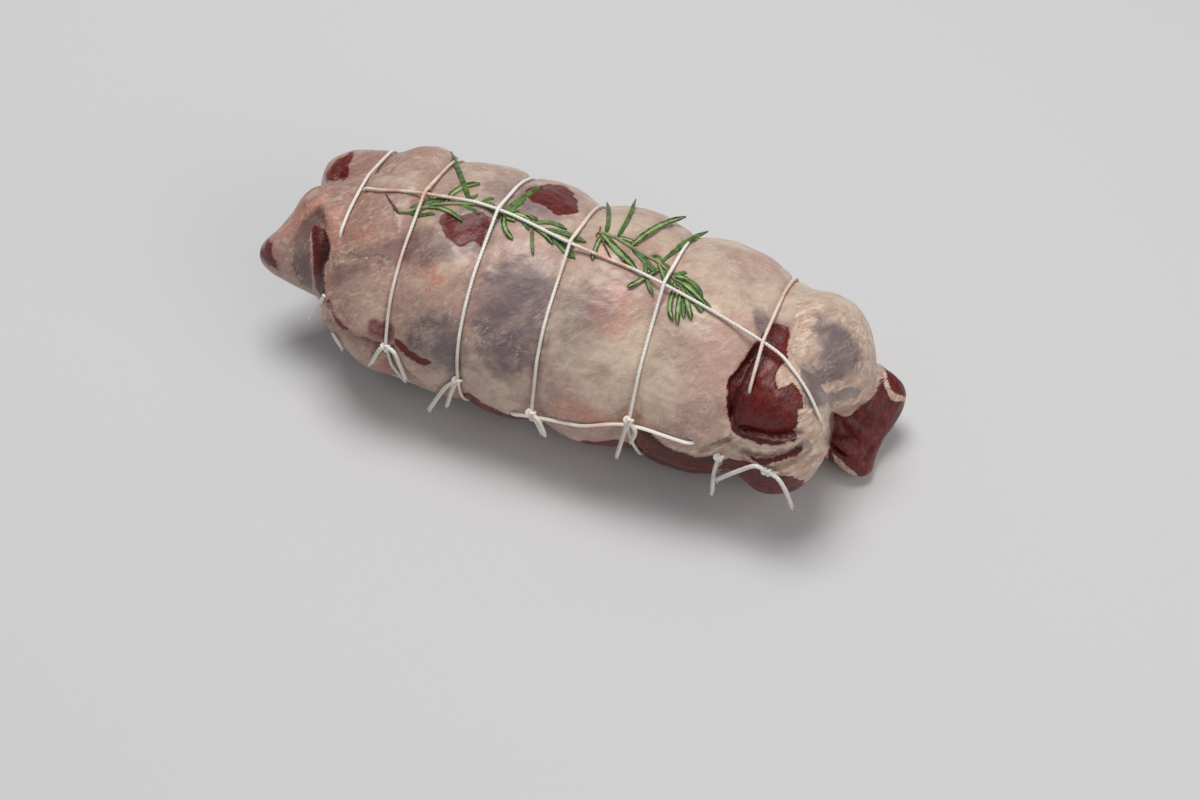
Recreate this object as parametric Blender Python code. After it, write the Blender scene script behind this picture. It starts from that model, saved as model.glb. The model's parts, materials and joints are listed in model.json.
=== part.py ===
"""Raw leg of lamb, boned, rolled and tied with butcher's string, with two rosemary sprigs on top.

Lengths are in millimetres here and become metres when a mesh is made. +X runs along the roll,
+Z is up, and the roll's front, with the knots, faces -Y. An angle round the roll is 0 at the
top and a quarter turn at the front.
"""

import math
import random

import bmesh
import bpy
from mathutils import Euler, Matrix, Vector, noise
from mathutils.bvhtree import BVHTree

MM = 0.001

# The six cross strings: place along the roll, then the roll's top, under side and half width there
TIE_PLACES = (-116.2, -82.4, -45.6, -7.7, 39.6, 89.9)
TIE_TOPS = (90.0, 97.4, 100.8, 98.0, 95.4, 88.8)
TIE_BOTTOMS = (13.0, 5.2, 3.6, 3.6, 4.4, 10.0)
TIE_HALF_WIDTHS = (49.0, 54.3, 56.5, 54.8, 53.4, 49.0)
TIE_LEAN = math.tan(math.radians(-3))
ROLL_ENDS = (-130.0, 113.0)
GROOVE_HALF = 1.3

# How far the meat swells between strings, by the angle round the roll, and each span's share of it
SWELL_ANGLES = (-180, -120, -60, -10, 50, 100, 140, 180)
SWELL_HEIGHTS = (6.5, 6.0, 7.2, 4.2, 2.4, 4.2, 5.5, 6.5)
SPAN_SHARES = (1.0, 1.35, 0.85, 0.7, 1.1, 1.15, 0.7)
SWELL_ROUNDNESS = 0.65
UNEVEN = 1.4
UNEVEN_SIZE = 34.0

ROLL_SEGMENTS = 40
SPAN_STEPS = (0.0, 0.08, 0.25, 0.5, 0.75, 0.92, 1.0)
END_STEPS = (0.0, 0.15, 0.4, 0.7, 0.95, 1.0)

# Lobes of meat and fat at the two ends and along the front edge of the under side:
# centre, half sizes, turn in degrees, squareness, and how much the end at -X narrows
LOBES = {
    "shank_flap": ((-130, -13, 58), (36, 25, 28), (0, -16, 16), 1.8, 0.45),
    "shank_back": ((-122, 24, 56), (31, 24, 30), (0, 0, -10), 2.2, 0.1),
    "shank_under": ((-108, 8, 36), (19, 28, 24), (0, 0, 0), 2.2, 0.0),
    "rump_front": ((105, -28, 48), (24, 25, 40), (0, 0, 0), 2.1, 0.0),
    "rump_back": ((107, 13, 55), (28, 30, 35), (0, 0, 0), 2.1, 0.0),
    "rump_wedge": ((125, 18, 16), (22, 27, 13), (47, 27, -9), 3.6, 0.0),
    "rump_tip": ((134, -1, 10), (13, 11, 11), (47, 27, -9), 2.8, 0.0),
    "rump_fold": ((112, -33, 29), (13, 13, 12), (0, 0, 20), 2.0, 0.0),
    "edge_right": ((60, -30, 15), (26, 13, 12), (0, 0, 0), 2.0, 0.0),
    "edge_rump": ((97, -21, 16), (24, 13, 12), (0, 0, 0), 2.0, 0.0),
    "edge_left": ((-91, -34, 22), (22, 12, 13), (0, 0, 0), 2.0, 0.0),
}
LOBE_RINGS = 24
LOBE_SEGMENTS = 36
# The skin's rings over each end fan out from the last string's middle toward these points
END_TIPS = ((-165, -19, 50), (150, 15, 36))
END_LEANS = (0, 8, 16, 24, 32, 39, 46, 52, 58, 64, 70, 76, 83, 90)
# Beyond these places along the roll the skin is smoothed, so the lobes run into each other
END_REGION = (-123.5, 95.0)
END_SMOOTHING = 1

# Surfaces are felt for with a close bundle of rays, because one alone can slip between two faces
RAY_BUNDLE = ((0.013, 0.007, 0.011), (-0.011, 0.012, -0.008), (0.004, -0.014, 0.009))

# Butcher's string
STRING_RADIUS = 1.0
STRING_SIDES_LEVEL = 1
STRING_GAP = 0.45
STRING_STRAIGHTNESS = 0.2
PULL_ROUNDS = 350
LIFT_ROUNDS = 3
LOOP_SAMPLES = 180
KNOT_SIZE = (2.5, 2.0, 2.2)
KNOT_RINGS = 6
KNOT_SEGMENTS = 8
# Where each knot sits round the roll, in degrees, and how far its two ends hang: along, then down
KNOTS = (
    (72, ((-6, 5), (3, 16))),
    (81, ((-6, 16), (8, 20))),
    (89, ((-14, 21), (-5, 17))),
    (97, ((3, 15), (6, 12))),
    (80, ((-8, 22), (-2, 12))),
    (88, ((-3, 20), (3, 7))),
)

# The long string's route over the top, down the rump end, back along the lower front and up the
# shank end. It is drawn tight over the meat along these points.
LONG_ROUTE = (
    (-108, -1, 98), (-80, 1, 100), (-44, 2, 102), (-5, -4, 102), (42, -9, 100), (92, -19, 94),
    (108, -25, 88), (120, -30, 74), (128, -34, 56), (124, -44, 44), (109, -56, 48), (88, -58, 53),
    (66, -58, 55), (42, -58, 56), (20, -58, 48), (-3, -58, 42), (-18, -56, 36), (-34, -47, 22),
    (-60, -39, 15), (-92, -33, 15), (-118, -20, 21), (-136, -4, 34), (-148, 9, 50), (-142, 9, 70),
    (-128, 5, 88),
)
LONG_KNOT = (109, -56, 48)
LONG_KNOT_ENDS = ((-22, 6), (10, 22))
LONG_SAMPLES = 380

# Rosemary: each stem's points as (place along the roll, angle round it), and its stray leaves as
# (share of the stem, heading in degrees from the stem's tip direction, length, lift in degrees)
SPRIGS = {
    "rosemary_sprig_1": {
        "stem": ((-103, 13), (-92, 9), (-80, 3), (-68, -4), (-57, -6), (-42, -6), (-28, -4), (-14, -1)),
        "pairs": 7,
        "strays": ((0.42, 118, 24, 26), (0.52, 42, 21, 14), (0.16, -30, 15, 6), (0.70, -78, 15, 4)),
        "seed": 4,
    },
    "rosemary_sprig_2": {
        "stem": ((3, -8), (14, -3), (24, 2), (34, 6), (43, 10), (52, 14)),
        "pairs": 6,
        "strays": ((0.05, 100, 16, 30), (0.16, 78, 19, 30), (0.42, 50, 24, 22), (0.60, 52, 23, 24),
                   (0.08, -95, 10, 4), (0.42, -140, 11, 4), (0.50, -62, 15, 4)),
        "seed": 9,
    },
}
STEM_RADIUS = 1.0
STEM_SAMPLES = 26
STEM_SMOOTHING = 6
STEM_STRAIGHTNESS = 0.15
FIRST_LEAF = 0.15
LEAF_WIDTH = 2.9
LEAF_THICKNESS = 1.0
LEAF_LENGTHS = (13.0, 20.0)
LEAF_SPREADS = (24, 58)
LEAF_LIFTS = (0, 6)
LEAF_BEND = 0.12
LEAF_FULLNESS = 0.5
LEAF_RINGS = 5
LEAF_SEGMENTS = 6
GREEN_GAP = 0.35

MATERIALS = {
    "meat": ((0.52, 0.31, 0.27), 0.45),
    "string": ((0.82, 0.76, 0.68), 0.8),
    "rosemary": ((0.09, 0.15, 0.05), 0.55),
}


def add_mesh(name, bm, collection):
    mesh = bpy.data.meshes.new(name)
    bmesh.ops.recalc_face_normals(bm, faces=bm.faces)
    if bm.calc_volume(signed=True) < 0:
        bmesh.ops.reverse_faces(bm, faces=bm.faces)
    bm.to_mesh(mesh)
    bm.free()
    obj = bpy.data.objects.new(name, mesh)
    collection.objects.link(obj)
    return obj


def grown_sphere(rings, segments, place):
    """A sphere primitive whose points go where place(ring share, turn) says, both from 0 to 1."""
    bm = bmesh.new()
    bmesh.ops.create_uvsphere(bm, u_segments=segments, v_segments=rings, radius=1.0)
    for vert in bm.verts:
        polar = math.acos(max(-1.0, min(1.0, vert.co.z)))
        share = round(polar / math.pi * rings) / rings
        turn = math.atan2(vert.co.y, vert.co.x) / (2 * math.pi) % 1.0
        vert.co = place(share, turn) * MM
    return bm


def add_collection(name):
    collection = bpy.data.collections.new(name)
    bpy.context.scene.collection.children.link(collection)
    return collection


def freeze(obj):
    """Makes the object's evaluated mesh its own."""
    bpy.context.view_layer.update()
    graph = bpy.context.evaluated_depsgraph_get()
    mesh = bpy.data.meshes.new_from_object(obj.evaluated_get(graph))
    obj.modifiers.clear()
    obj.data = mesh


def joined(base, collection):
    """Joins a collection's meshes to base, and removes them."""
    modifier = base.modifiers.new("join", "BOOLEAN")
    modifier.operation = "UNION"
    modifier.operand_type = "COLLECTION"
    modifier.collection = collection
    modifier.solver = "EXACT"
    freeze(base)
    remove_collection(collection)
    return base


def remove_collection(collection):
    for obj in list(collection.objects):
        bpy.data.objects.remove(obj)
    bpy.data.collections.remove(collection)


def smooth_step(t):
    return t * t * (3 - 2 * t)


def read_table(places, values, at):
    """The value at a place, eased between the places of a table."""
    at = max(places[0], min(places[-1], at))
    i = max(k for k in range(len(places) - 1) if places[k] <= at)
    t = smooth_step((at - places[i]) / (places[i + 1] - places[i]))
    return values[i] * (1 - t) + values[i + 1] * t


def swell(span, share, angle):
    """How far the meat stands out beyond the strings, at a share of the way across a span."""
    degrees = (math.degrees(angle) + 180) % 360 - 180
    most = read_table(SWELL_ANGLES, SWELL_HEIGHTS, degrees) * SPAN_SHARES[span]
    return most * max(0.0, math.sin(math.pi * share)) ** SWELL_ROUNDNESS


def loop_direction(angle):
    y, z = -math.sin(angle), math.cos(angle)
    return Vector((TIE_LEAN * y, y, z)).normalized()


def roll_rings():
    """Each ring of the roll: place, span, share across the span, and how far the end has rounded."""
    rings = []
    left, right = ROLL_ENDS
    for step in END_STEPS:
        reach = 1 - math.cos(step * math.pi / 2)
        place = left + (TIE_PLACES[0] - GROOVE_HALF - left) * reach
        rings.append((place, 0, 0.5 + step / 2, math.sin(step * math.pi / 2)))
    for span in range(len(TIE_PLACES) - 1):
        start = TIE_PLACES[span] + GROOVE_HALF
        end = TIE_PLACES[span + 1] - GROOVE_HALF
        rings += [(start + (end - start) * step, span + 1, step, 1.0) for step in SPAN_STEPS]
    for step in reversed(END_STEPS):
        reach = 1 - math.cos(step * math.pi / 2)
        place = right + (TIE_PLACES[-1] + GROOVE_HALF - right) * reach
        rings.append((place, len(TIE_PLACES), 0.5 - step / 2, math.sin(step * math.pi / 2)))
    return rings


def roll_point(ring, angle):
    place, span, share, rounding = ring
    top, bottom = (read_table(TIE_PLACES, values, place) for values in (TIE_TOPS, TIE_BOTTOMS))
    centre, half_height = (top + bottom) / 2, (top - bottom) / 2
    swelling = swell(span, share, angle)
    around = Vector((place, 40 * math.sin(angle), 40 * math.cos(angle)))
    swelling += UNEVEN * noise.noise(around / UNEVEN_SIZE) * min(1.0, swelling)
    half_width = read_table(TIE_PLACES, TIE_HALF_WIDTHS, place) + swelling
    y = -half_width * math.sin(angle) * rounding
    z = centre + (half_height + swelling) * math.cos(angle) * rounding
    return Vector((place + TIE_LEAN * y, y, z))


def add_roll(collection):
    rings = roll_rings()
    last = len(rings) - 1

    def place(share, turn):
        return roll_point(rings[round(share * last)], turn * 2 * math.pi)

    add_mesh("roll", grown_sphere(last, ROLL_SEGMENTS, place), collection)


def lobe_point(shape, share, turn):
    """A point of a rounded lobe, whose poles lie along its own X."""
    centre, half, turned, squareness, narrowing = shape
    polar, around = (1 - share) * math.pi, turn * 2 * math.pi
    unit = Vector((math.cos(polar), math.sin(polar) * math.cos(around), math.sin(polar) * math.sin(around)))
    unit /= sum(abs(c) ** squareness for c in unit) ** (1 / squareness)
    taper = 1 + narrowing * unit.x
    local = Vector((half[0] * unit.x, half[1] * unit.y * taper, half[2] * unit.z * taper))
    point = Vector(centre) + Euler([math.radians(a) for a in turned]).to_matrix() @ local
    at = point / UNEVEN_SIZE
    return point + UNEVEN * Vector([noise.noise(at + Vector((0, 0, step))) for step in (0, 31, 57)])


def skin_rings():
    """Each ring of the skin: its middle's place, the way it leans out over an end, and how far."""
    left, right = (Vector(tip) for tip in END_TIPS)
    rings = [(TIE_PLACES[0] - GROOVE_HALF, left, lean) for lean in reversed(END_LEANS)]
    for span in range(len(TIE_PLACES) - 1):
        start, end = TIE_PLACES[span] + GROOVE_HALF, TIE_PLACES[span + 1] - GROOVE_HALF
        rings += [(start + (end - start) * step, right, 0) for step in SPAN_STEPS]
    rings += [(TIE_PLACES[-1] + GROOVE_HALF, right, lean) for lean in END_LEANS]
    return rings


def skin_point(ring, turn, tree):
    """The outermost point of the roll and its lobes along one ray, no lower than the resting plane."""
    place, tip, lean = ring
    top, bottom = (read_table(TIE_PLACES, values, place) for values in (TIE_TOPS, TIE_BOTTOMS))
    middle = Vector((place, 0, (top + bottom) / 2))
    lean = math.radians(lean)
    way = loop_direction(turn * 2 * math.pi) * math.cos(lean) + (tip - middle).normalized() * math.sin(lean)
    way.normalize()
    point = middle + way * outline_reach(tree, middle, way)
    point.z = max(0.0, point.z)
    return point


def make_meat(part):
    """One skin round the roll and its lobes, which are then removed."""
    shapes = add_collection("shapes")
    add_roll(shapes)
    for name, shape in LOBES.items():
        bm = grown_sphere(LOBE_RINGS, LOBE_SEGMENTS, lambda share, turn: lobe_point(shape, share, turn))
        add_mesh(name, bm, shapes)
    tree = tree_of(*shapes.objects)
    remove_collection(shapes)
    rings = skin_rings()
    last = len(rings) - 1

    def place(share, turn):
        return skin_point(rings[round(share * last)], turn, tree)

    skin = grown_sphere(last, ROLL_SEGMENTS, place)
    ends = [vert for vert in skin.verts if not END_REGION[0] * MM < vert.co.x < END_REGION[1] * MM]
    for _ in range(END_SMOOTHING):
        bmesh.ops.smooth_vert(skin, verts=ends, factor=0.5, use_axis_x=True, use_axis_y=True, use_axis_z=True)
    return add_mesh("meat", skin, part)


def tree_of(*objects):
    """One search tree over several meshes, in millimetres."""
    points, faces = [], []
    for obj in objects:
        start = len(points)
        points += [vert.co / MM for vert in obj.data.vertices]
        faces += [[start + i for i in face.vertices] for face in obj.data.polygons]
    return BVHTree.FromPolygons(points, faces)


def pushed_clear(point, tree, clearance, rounds=4):
    """The point itself, or moved out until it is this far from the surface."""
    for _ in range(rounds):
        near, normal, _, distance = tree.find_nearest(point)
        away = point - near
        if away.dot(normal) < 0 or distance < 1e-6:
            point = near + normal * clearance
        elif distance < clearance:
            point = near + away / distance * clearance
        else:
            break
    return point


def outline_reach(tree, origin, direction, far=160.0):
    """How far the outermost surface lies from origin, along a direction."""
    starts = [origin + Vector(aside) + direction * far for aside in RAY_BUNDLE]
    hits = [tree.ray_cast(start, -direction, far)[0] for start in starts]
    return max((hit - origin).length for hit in hits if hit)


def pulled_taut(middles, directions, floors):
    """A closed string drawn tight: each point slides along its own ray, no lower than its floor."""
    count = len(floors)
    reaches = list(floors)
    for _ in range(PULL_ROUNDS):
        points = [middle + way * reach for middle, way, reach in zip(middles, directions, reaches)]
        between = [(points[k - 1] + points[(k + 1) % count]) / 2 for k in range(count)]
        reaches = [max(floor, (place - middle).dot(way))
                   for floor, place, middle, way in zip(floors, between, middles, directions)]
    return [middle + way * reach for middle, way, reach in zip(middles, directions, reaches)]


def string_over(tree, middles, directions):
    """The taut line of a closed string over a surface, with room for the string's thickness."""
    clearance = STRING_RADIUS + STRING_GAP
    first = [middle + way * 50 for middle, way in zip(middles, directions)]
    floors = []
    for k, (middle, way) in enumerate(zip(middles, directions)):
        aside = way.cross(first[(k + 1) % len(first)] - first[k - 1]).normalized() * STRING_RADIUS
        rays = [outline_reach(tree, middle + aside * side, way) for side in (-0.9, 0, 0.9)]
        floors.append(max(rays) + clearance)
    for _ in range(LIFT_ROUNDS):
        points = pulled_taut(middles, directions, floors)
        lacks = [max(0.0, clearance - tree.find_nearest(point)[3]) for point in points]
        floors = [(point - middle).length + lack if lack else floor
                  for floor, lack, point, middle in zip(floors, lacks, points, middles)]
    return pulled_taut(middles, directions, floors)


def smooth_through(points, samples, closed):
    """Points spread along a smooth curve through these."""
    made, count = [], len(points)
    pieces = count if closed else count - 1
    for k in range(samples):
        at = k / (samples if closed else samples - 1) * pieces
        i = min(int(at), pieces - 1)
        f = at - i
        wanted = [i - 1, i, i + 1, i + 2]
        if not closed:
            wanted = [max(0, min(count - 1, j)) for j in wanted]
        a, b, c, d = (Vector(points[j % count]) for j in wanted)
        made.append(0.5 * ((2 * b) + (c - a) * f + (2 * a - 5 * b + 4 * c - d) * f * f
                           + (3 * b - a - 3 * c + d) * f ** 3))
    return made


def straightened(points, tolerance):
    """The fewest of these points that keep the line within a tolerance of all of them."""
    if len(points) < 3:
        return points
    start, end = points[0], points[-1]
    line = end - start
    offs = []
    for point in points[1:-1]:
        t = max(0.0, min(1.0, (point - start).dot(line) / max(line.length_squared, 1e-9)))
        offs.append((point - start - line * t).length)
    far = max(range(len(offs)), key=offs.__getitem__)
    if offs[far] <= tolerance:
        return [start, end]
    left = straightened(points[:far + 2], tolerance)
    return left[:-1] + straightened(points[far + 1:], tolerance)


def closed_straightened(points, tolerance):
    half = len(points) // 2
    first = straightened(points[:half + 1], tolerance)
    second = straightened(points[half:] + points[:1], tolerance)
    return first[:-1] + second[:-1]


def tube(name, points, radius, collection, cyclic=False):
    """A string or stem: a curve with a round bevel, made a mesh."""
    curve = bpy.data.curves.new(name, "CURVE")
    curve.dimensions = "3D"
    curve.bevel_depth = radius * MM
    curve.bevel_resolution = STRING_SIDES_LEVEL
    curve.use_fill_caps = True
    spline = curve.splines.new("POLY")
    spline.points.add(len(points) - 1)
    for target, point in zip(spline.points, points):
        target.co = (*(Vector(point) * MM), 1)
    spline.use_cyclic_u = cyclic
    drawn = bpy.data.objects.new(name + "_line", curve)
    collection.objects.link(drawn)
    bpy.context.view_layer.update()
    graph = bpy.context.evaluated_depsgraph_get()
    bm = bmesh.new()
    bm.from_mesh(bpy.data.meshes.new_from_object(drawn.evaluated_get(graph)))
    bmesh.ops.remove_doubles(bm, verts=bm.verts, dist=1e-6)
    bpy.data.objects.remove(drawn)
    return add_mesh(name, bm, collection)


def loop_path(tie, tree):
    """The taut line of a cross string, from the top of the roll and round by the front."""
    middle = Vector((TIE_PLACES[tie], 0, (TIE_TOPS[tie] + TIE_BOTTOMS[tie]) / 2))
    directions = [loop_direction(k / LOOP_SAMPLES * 2 * math.pi) for k in range(LOOP_SAMPLES)]
    return string_over(tree, [middle] * LOOP_SAMPLES, directions)


def long_path(tree):
    """The taut line of the lengthways string."""
    route = smooth_through(LONG_ROUTE, LONG_SAMPLES, True)
    middles = [Vector((max(-105.0, min(100.0, point.x)), 0, 46)) for point in route]
    directions = [(point - middle).normalized() for point, middle in zip(route, middles)]
    return string_over(tree, middles, directions)


def knot_and_ends(place, outward, ends, tree, collection):
    """A knot's lump on the string, and its two cut ends hanging from it."""
    centre = pushed_clear(place + outward * 0.6, tree, max(KNOT_SIZE) + GREEN_GAP)

    def lump(share, turn):
        polar, around = share * math.pi, turn * 2 * math.pi
        along, aside, up = KNOT_SIZE
        return centre + Vector((along * math.cos(polar), aside * math.sin(polar) * math.cos(around),
                                up * math.sin(polar) * math.sin(around)))

    add_mesh("knot", grown_sphere(KNOT_RINGS, KNOT_SEGMENTS, lump), collection)
    for along, down in ends:
        hang = Vector((along, 0, -down))
        route = [centre + Vector((math.copysign(1.4, along), 0, -1)) + outward * 1.2,
                 centre + hang * 0.4 + outward * 2.6, centre + hang * 0.75 + outward * 2.4,
                 centre + hang + outward * 1.6]
        route = [pushed_clear(point, tree, STRING_RADIUS + STRING_GAP + 0.2) for point in route]
        tube("end", [centre] + route, STRING_RADIUS, collection)


def make_strings(part, meat, sprigs):
    """The long string over the meat and sprigs, the cross strings over all of them, then the knots."""
    long_line = long_path(tree_of(meat, *sprigs))
    knots = [(min(long_line, key=lambda point: (point - Vector(LONG_KNOT)).length),
              Vector((0.35, -1, 0)).normalized(), LONG_KNOT_ENDS)]
    long_points = closed_straightened(long_line, STRING_STRAIGHTNESS)
    strings = [tube("string_long", long_points, STRING_RADIUS, part, True)]
    tree = tree_of(meat, *sprigs, strings[0])
    for tie, (degrees, ends) in enumerate(KNOTS):
        line = loop_path(tie, tree)
        knots.append((line[round(degrees / 360 * LOOP_SAMPLES)], loop_direction(math.radians(degrees)), ends))
        line = closed_straightened(line, STRING_STRAIGHTNESS)
        strings.append(tube(f"string_loop_{tie + 1}", line, STRING_RADIUS, part, True))
    for string, (place, outward, ends) in zip(strings, knots):
        others = [other for other in strings if other is not string]
        pieces = add_collection("knot_pieces")
        knot_and_ends(place, outward, ends, tree_of(meat, *sprigs, *others), pieces)
        joined(string, pieces)


def over_meat(tree, along, degrees, rise):
    """A point this far above the meat, at a place along the roll and an angle round it."""
    angle = math.radians(degrees)
    middle = Vector((along, 0, 50))
    way = Vector((0, -math.sin(angle), math.cos(angle)))
    return middle + way * (outline_reach(tree, middle, way) + rise)


def stem_line(stem, tree):
    clearance = STEM_RADIUS + GREEN_GAP
    spread = smooth_through([(along, degrees, 0) for along, degrees in stem], STEM_SAMPLES, False)
    line = [over_meat(tree, point.x, point.y, clearance) for point in spread]
    for _ in range(STEM_SMOOTHING):
        middle = [(line[k - 1] + line[k] * 2 + line[k + 1]) / 4 for k in range(1, len(line) - 1)]
        line = [pushed_clear(point, tree, clearance) for point in [line[0]] + middle + [line[-1]]]
    return line


def make_leaf(base, tip_way, heading, length, lift, tree, collection):
    """One needle leaf: a narrow bent blade that starts inside the stem and stays clear of the meat."""
    up = tree.find_nearest(base)[1]
    side = up.cross(tip_way).normalized()
    flat_way = (tip_way - up * tip_way.dot(up)).normalized()
    flat_way = flat_way * math.cos(heading) + side * math.sin(heading)
    width_way = up.cross(flat_way)

    def spine(share):
        reach = length * share
        bend = LEAF_BEND * length * share * share
        point = base + flat_way * reach * math.cos(lift) + up * ((reach - bend) * math.sin(lift))
        return point if share == 0 else pushed_clear(point, tree, LEAF_THICKNESS / 2 + GREEN_GAP + 0.25)

    def place(share, turn):
        around = turn * 2 * math.pi
        full = math.sin(share * math.pi) ** LEAF_FULLNESS
        across = width_way * (LEAF_WIDTH / 2 * full * math.cos(around))
        over = up * (LEAF_THICKNESS / 2 * full * math.sin(around))
        return pushed_clear(spine(share) + across + over, tree, GREEN_GAP)

    bm = grown_sphere(LEAF_RINGS, LEAF_SEGMENTS, place)
    bmesh.ops.triangulate(bm, faces=bm.faces, quad_method="SHORT_EDGE")
    add_mesh("leaf", bm, collection)


def make_sprig(name, sprig, part, meat):
    rng = random.Random(sprig["seed"])
    tree = tree_of(meat)
    line = stem_line(sprig["stem"], tree)
    stem = tube(name, straightened(line, STEM_STRAIGHTNESS), STEM_RADIUS, part)
    leaves = list(sprig["strays"])
    for i in range(sprig["pairs"]):
        share = FIRST_LEAF + (0.98 - FIRST_LEAF) * i / (sprig["pairs"] - 1)
        for side in (-1, 1):
            length = rng.uniform(*LEAF_LENGTHS) * (1 - 0.25 * share)
            leaves.append((share, side * rng.uniform(*LEAF_SPREADS), length, rng.uniform(*LEAF_LIFTS)))
    pieces = add_collection("leaves")
    for share, heading, length, lift in leaves:
        k = min(int(share * (len(line) - 1)), len(line) - 2)
        way = (line[k + 1] - line[k]).normalized()
        make_leaf(line[k], way, math.radians(heading), length, math.radians(lift), tree, pieces)
    return joined(stem, pieces)


def finish(part):
    """Gives each piece its material and moves the whole so that it stands on the origin."""
    corners = [vert.co for obj in part.objects for vert in obj.data.vertices]
    middle = [(min(c[i] for c in corners) + max(c[i] for c in corners)) / 2 for i in (0, 1)]
    for obj in part.objects:
        colour, roughness = MATERIALS[obj.name.split("_")[0]]
        material = bpy.data.materials.new(obj.name)
        material.use_nodes = True
        shader = material.node_tree.nodes["Principled BSDF"]
        shader.inputs["Base Color"].default_value = (*colour, 1)
        shader.inputs["Roughness"].default_value = roughness
        obj.data.materials.clear()
        obj.data.materials.append(material)
        obj.data.transform(Matrix.Translation((-middle[0], -middle[1], 0)))


def main():
    for obj in list(bpy.data.objects):
        bpy.data.objects.remove(obj)
    part = add_collection("rolled_leg_of_lamb")
    meat = make_meat(part)
    sprigs = [make_sprig(name, sprig, part, meat) for name, sprig in SPRIGS.items()]
    make_strings(part, meat, sprigs)
    finish(part)


main()
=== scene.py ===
# Raw leg of lamb, boned, rolled and tied with butcher's string, with two rosemary sprigs under the ties.
# Lengths are millimetres, apart from the floor, the lamps and the subsurface scale, which are metres. Places
# in the picture are pixels of its 1200 x 800 frame.
import json
import math
import random
import bpy
import numpy as np
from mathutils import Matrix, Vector, kdtree, noise
from mathutils.bvhtree import BVHTree

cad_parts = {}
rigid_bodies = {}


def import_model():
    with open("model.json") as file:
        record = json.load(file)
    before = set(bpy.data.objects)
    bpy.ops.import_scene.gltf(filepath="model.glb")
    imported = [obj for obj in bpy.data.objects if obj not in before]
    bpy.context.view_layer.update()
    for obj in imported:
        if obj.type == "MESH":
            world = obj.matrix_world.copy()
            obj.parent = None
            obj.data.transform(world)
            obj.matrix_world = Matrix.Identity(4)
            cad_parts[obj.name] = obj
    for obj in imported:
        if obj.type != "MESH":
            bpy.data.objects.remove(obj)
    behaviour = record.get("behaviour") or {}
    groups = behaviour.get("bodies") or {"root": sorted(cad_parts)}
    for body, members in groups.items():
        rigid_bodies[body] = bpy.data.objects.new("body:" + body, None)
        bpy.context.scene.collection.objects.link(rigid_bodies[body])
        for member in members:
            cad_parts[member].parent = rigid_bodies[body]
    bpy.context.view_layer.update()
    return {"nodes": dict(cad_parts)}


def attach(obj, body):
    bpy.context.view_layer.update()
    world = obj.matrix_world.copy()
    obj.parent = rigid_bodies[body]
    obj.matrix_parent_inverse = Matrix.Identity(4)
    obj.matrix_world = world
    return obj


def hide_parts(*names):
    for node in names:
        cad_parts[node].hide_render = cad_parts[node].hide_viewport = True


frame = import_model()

mm = 0.001
nodes = frame["nodes"]


def say(words):
    print("lamb:", words)


def deselectAll():
    for obj in bpy.context.view_layer.objects:
        obj.select_set(False)


def pick(*objects):  # makes these the only selected objects, the first one active
    deselectAll()
    for obj in objects:
        obj.select_set(True)
    bpy.context.view_layer.objects.active = objects[0]


def placed(name, data):  # a new object with this data
    obj = bpy.data.objects.new(name, data)
    bpy.context.scene.collection.objects.link(obj)
    return obj


def cleaned(obj, gap, lastStep):  # merges doubled points, then runs one more step on the whole mesh
    pick(obj)
    bpy.ops.object.mode_set(mode="EDIT")
    bpy.ops.mesh.select_all(action="SELECT")
    bpy.ops.mesh.remove_doubles(threshold=gap)
    lastStep()
    bpy.ops.object.mode_set(mode="OBJECT")


def keepValues(mesh, name, values):
    mesh.attributes.new(name, "FLOAT", "POINT").data.foreach_set("value", values.astype(np.float32))


def eased(t):
    t = np.clip(t, 0, 1)
    return t * t * (3 - 2 * t)


def unit(rows):
    return rows / np.maximum(np.linalg.norm(rows, axis=-1, keepdims=True), 1e-9)


# Camera

cameraView = {
    "target": (31.013, -46.547, 55.0),
    "around": 22.0673, "above": 51.0727,  # degrees
    "distance": 976.94,
    "focalPixels": 2142.42, "pictureSize": (1200, 800), "sensor": 36.0,
}
around, above = math.radians(cameraView["around"]), math.radians(cameraView["above"])
backWay = Vector((math.sin(around) * math.cos(above), -math.cos(around) * math.cos(above), math.sin(above)))
rightWay = Vector((math.cos(around), math.sin(around), 0))
upWay = backWay.cross(rightWay)
eye = Vector(cameraView["target"]) + backWay * cameraView["distance"]


def addCamera():
    deselectAll()
    bpy.ops.object.camera_add(location=eye * mm)
    camera = bpy.context.object
    camera.name = "picture_camera"
    camera.rotation_euler = (-backWay).to_track_quat("-Z", "Y").to_euler()
    camera.data.sensor_width = cameraView["sensor"]
    camera.data.lens = cameraView["focalPixels"] / cameraView["pictureSize"][0] * cameraView["sensor"]
    camera.data.clip_start = 0.05
    bpy.context.scene.camera = camera


def pictureRay(across, down):
    wide, high = cameraView["pictureSize"]
    return (-backWay * cameraView["focalPixels"] + rightWay * (across - wide / 2)
            + upWay * (high / 2 - down)).normalized()


def inPicture(co):  # picture places and depths of many points
    rel = np.asarray(co) - np.array(eye)
    deep = rel @ -np.array(backWay)
    wide, high = cameraView["pictureSize"]
    scale = cameraView["focalPixels"] / deep
    across, down = wide / 2 + rel @ np.array(rightWay) * scale, high / 2 - rel @ np.array(upWay) * scale
    return np.stack((across, down), 1), deep


addCamera()
say("camera set")


# Points on surfaces

def treeOf(*objects):
    points, faces = [], []
    for obj in objects:
        start = len(points)
        points += [vert.co / mm for vert in obj.data.vertices]
        faces += [[start + i for i in face.vertices] for face in obj.data.polygons]
    return BVHTree.FromPolygons(points, faces)


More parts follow.
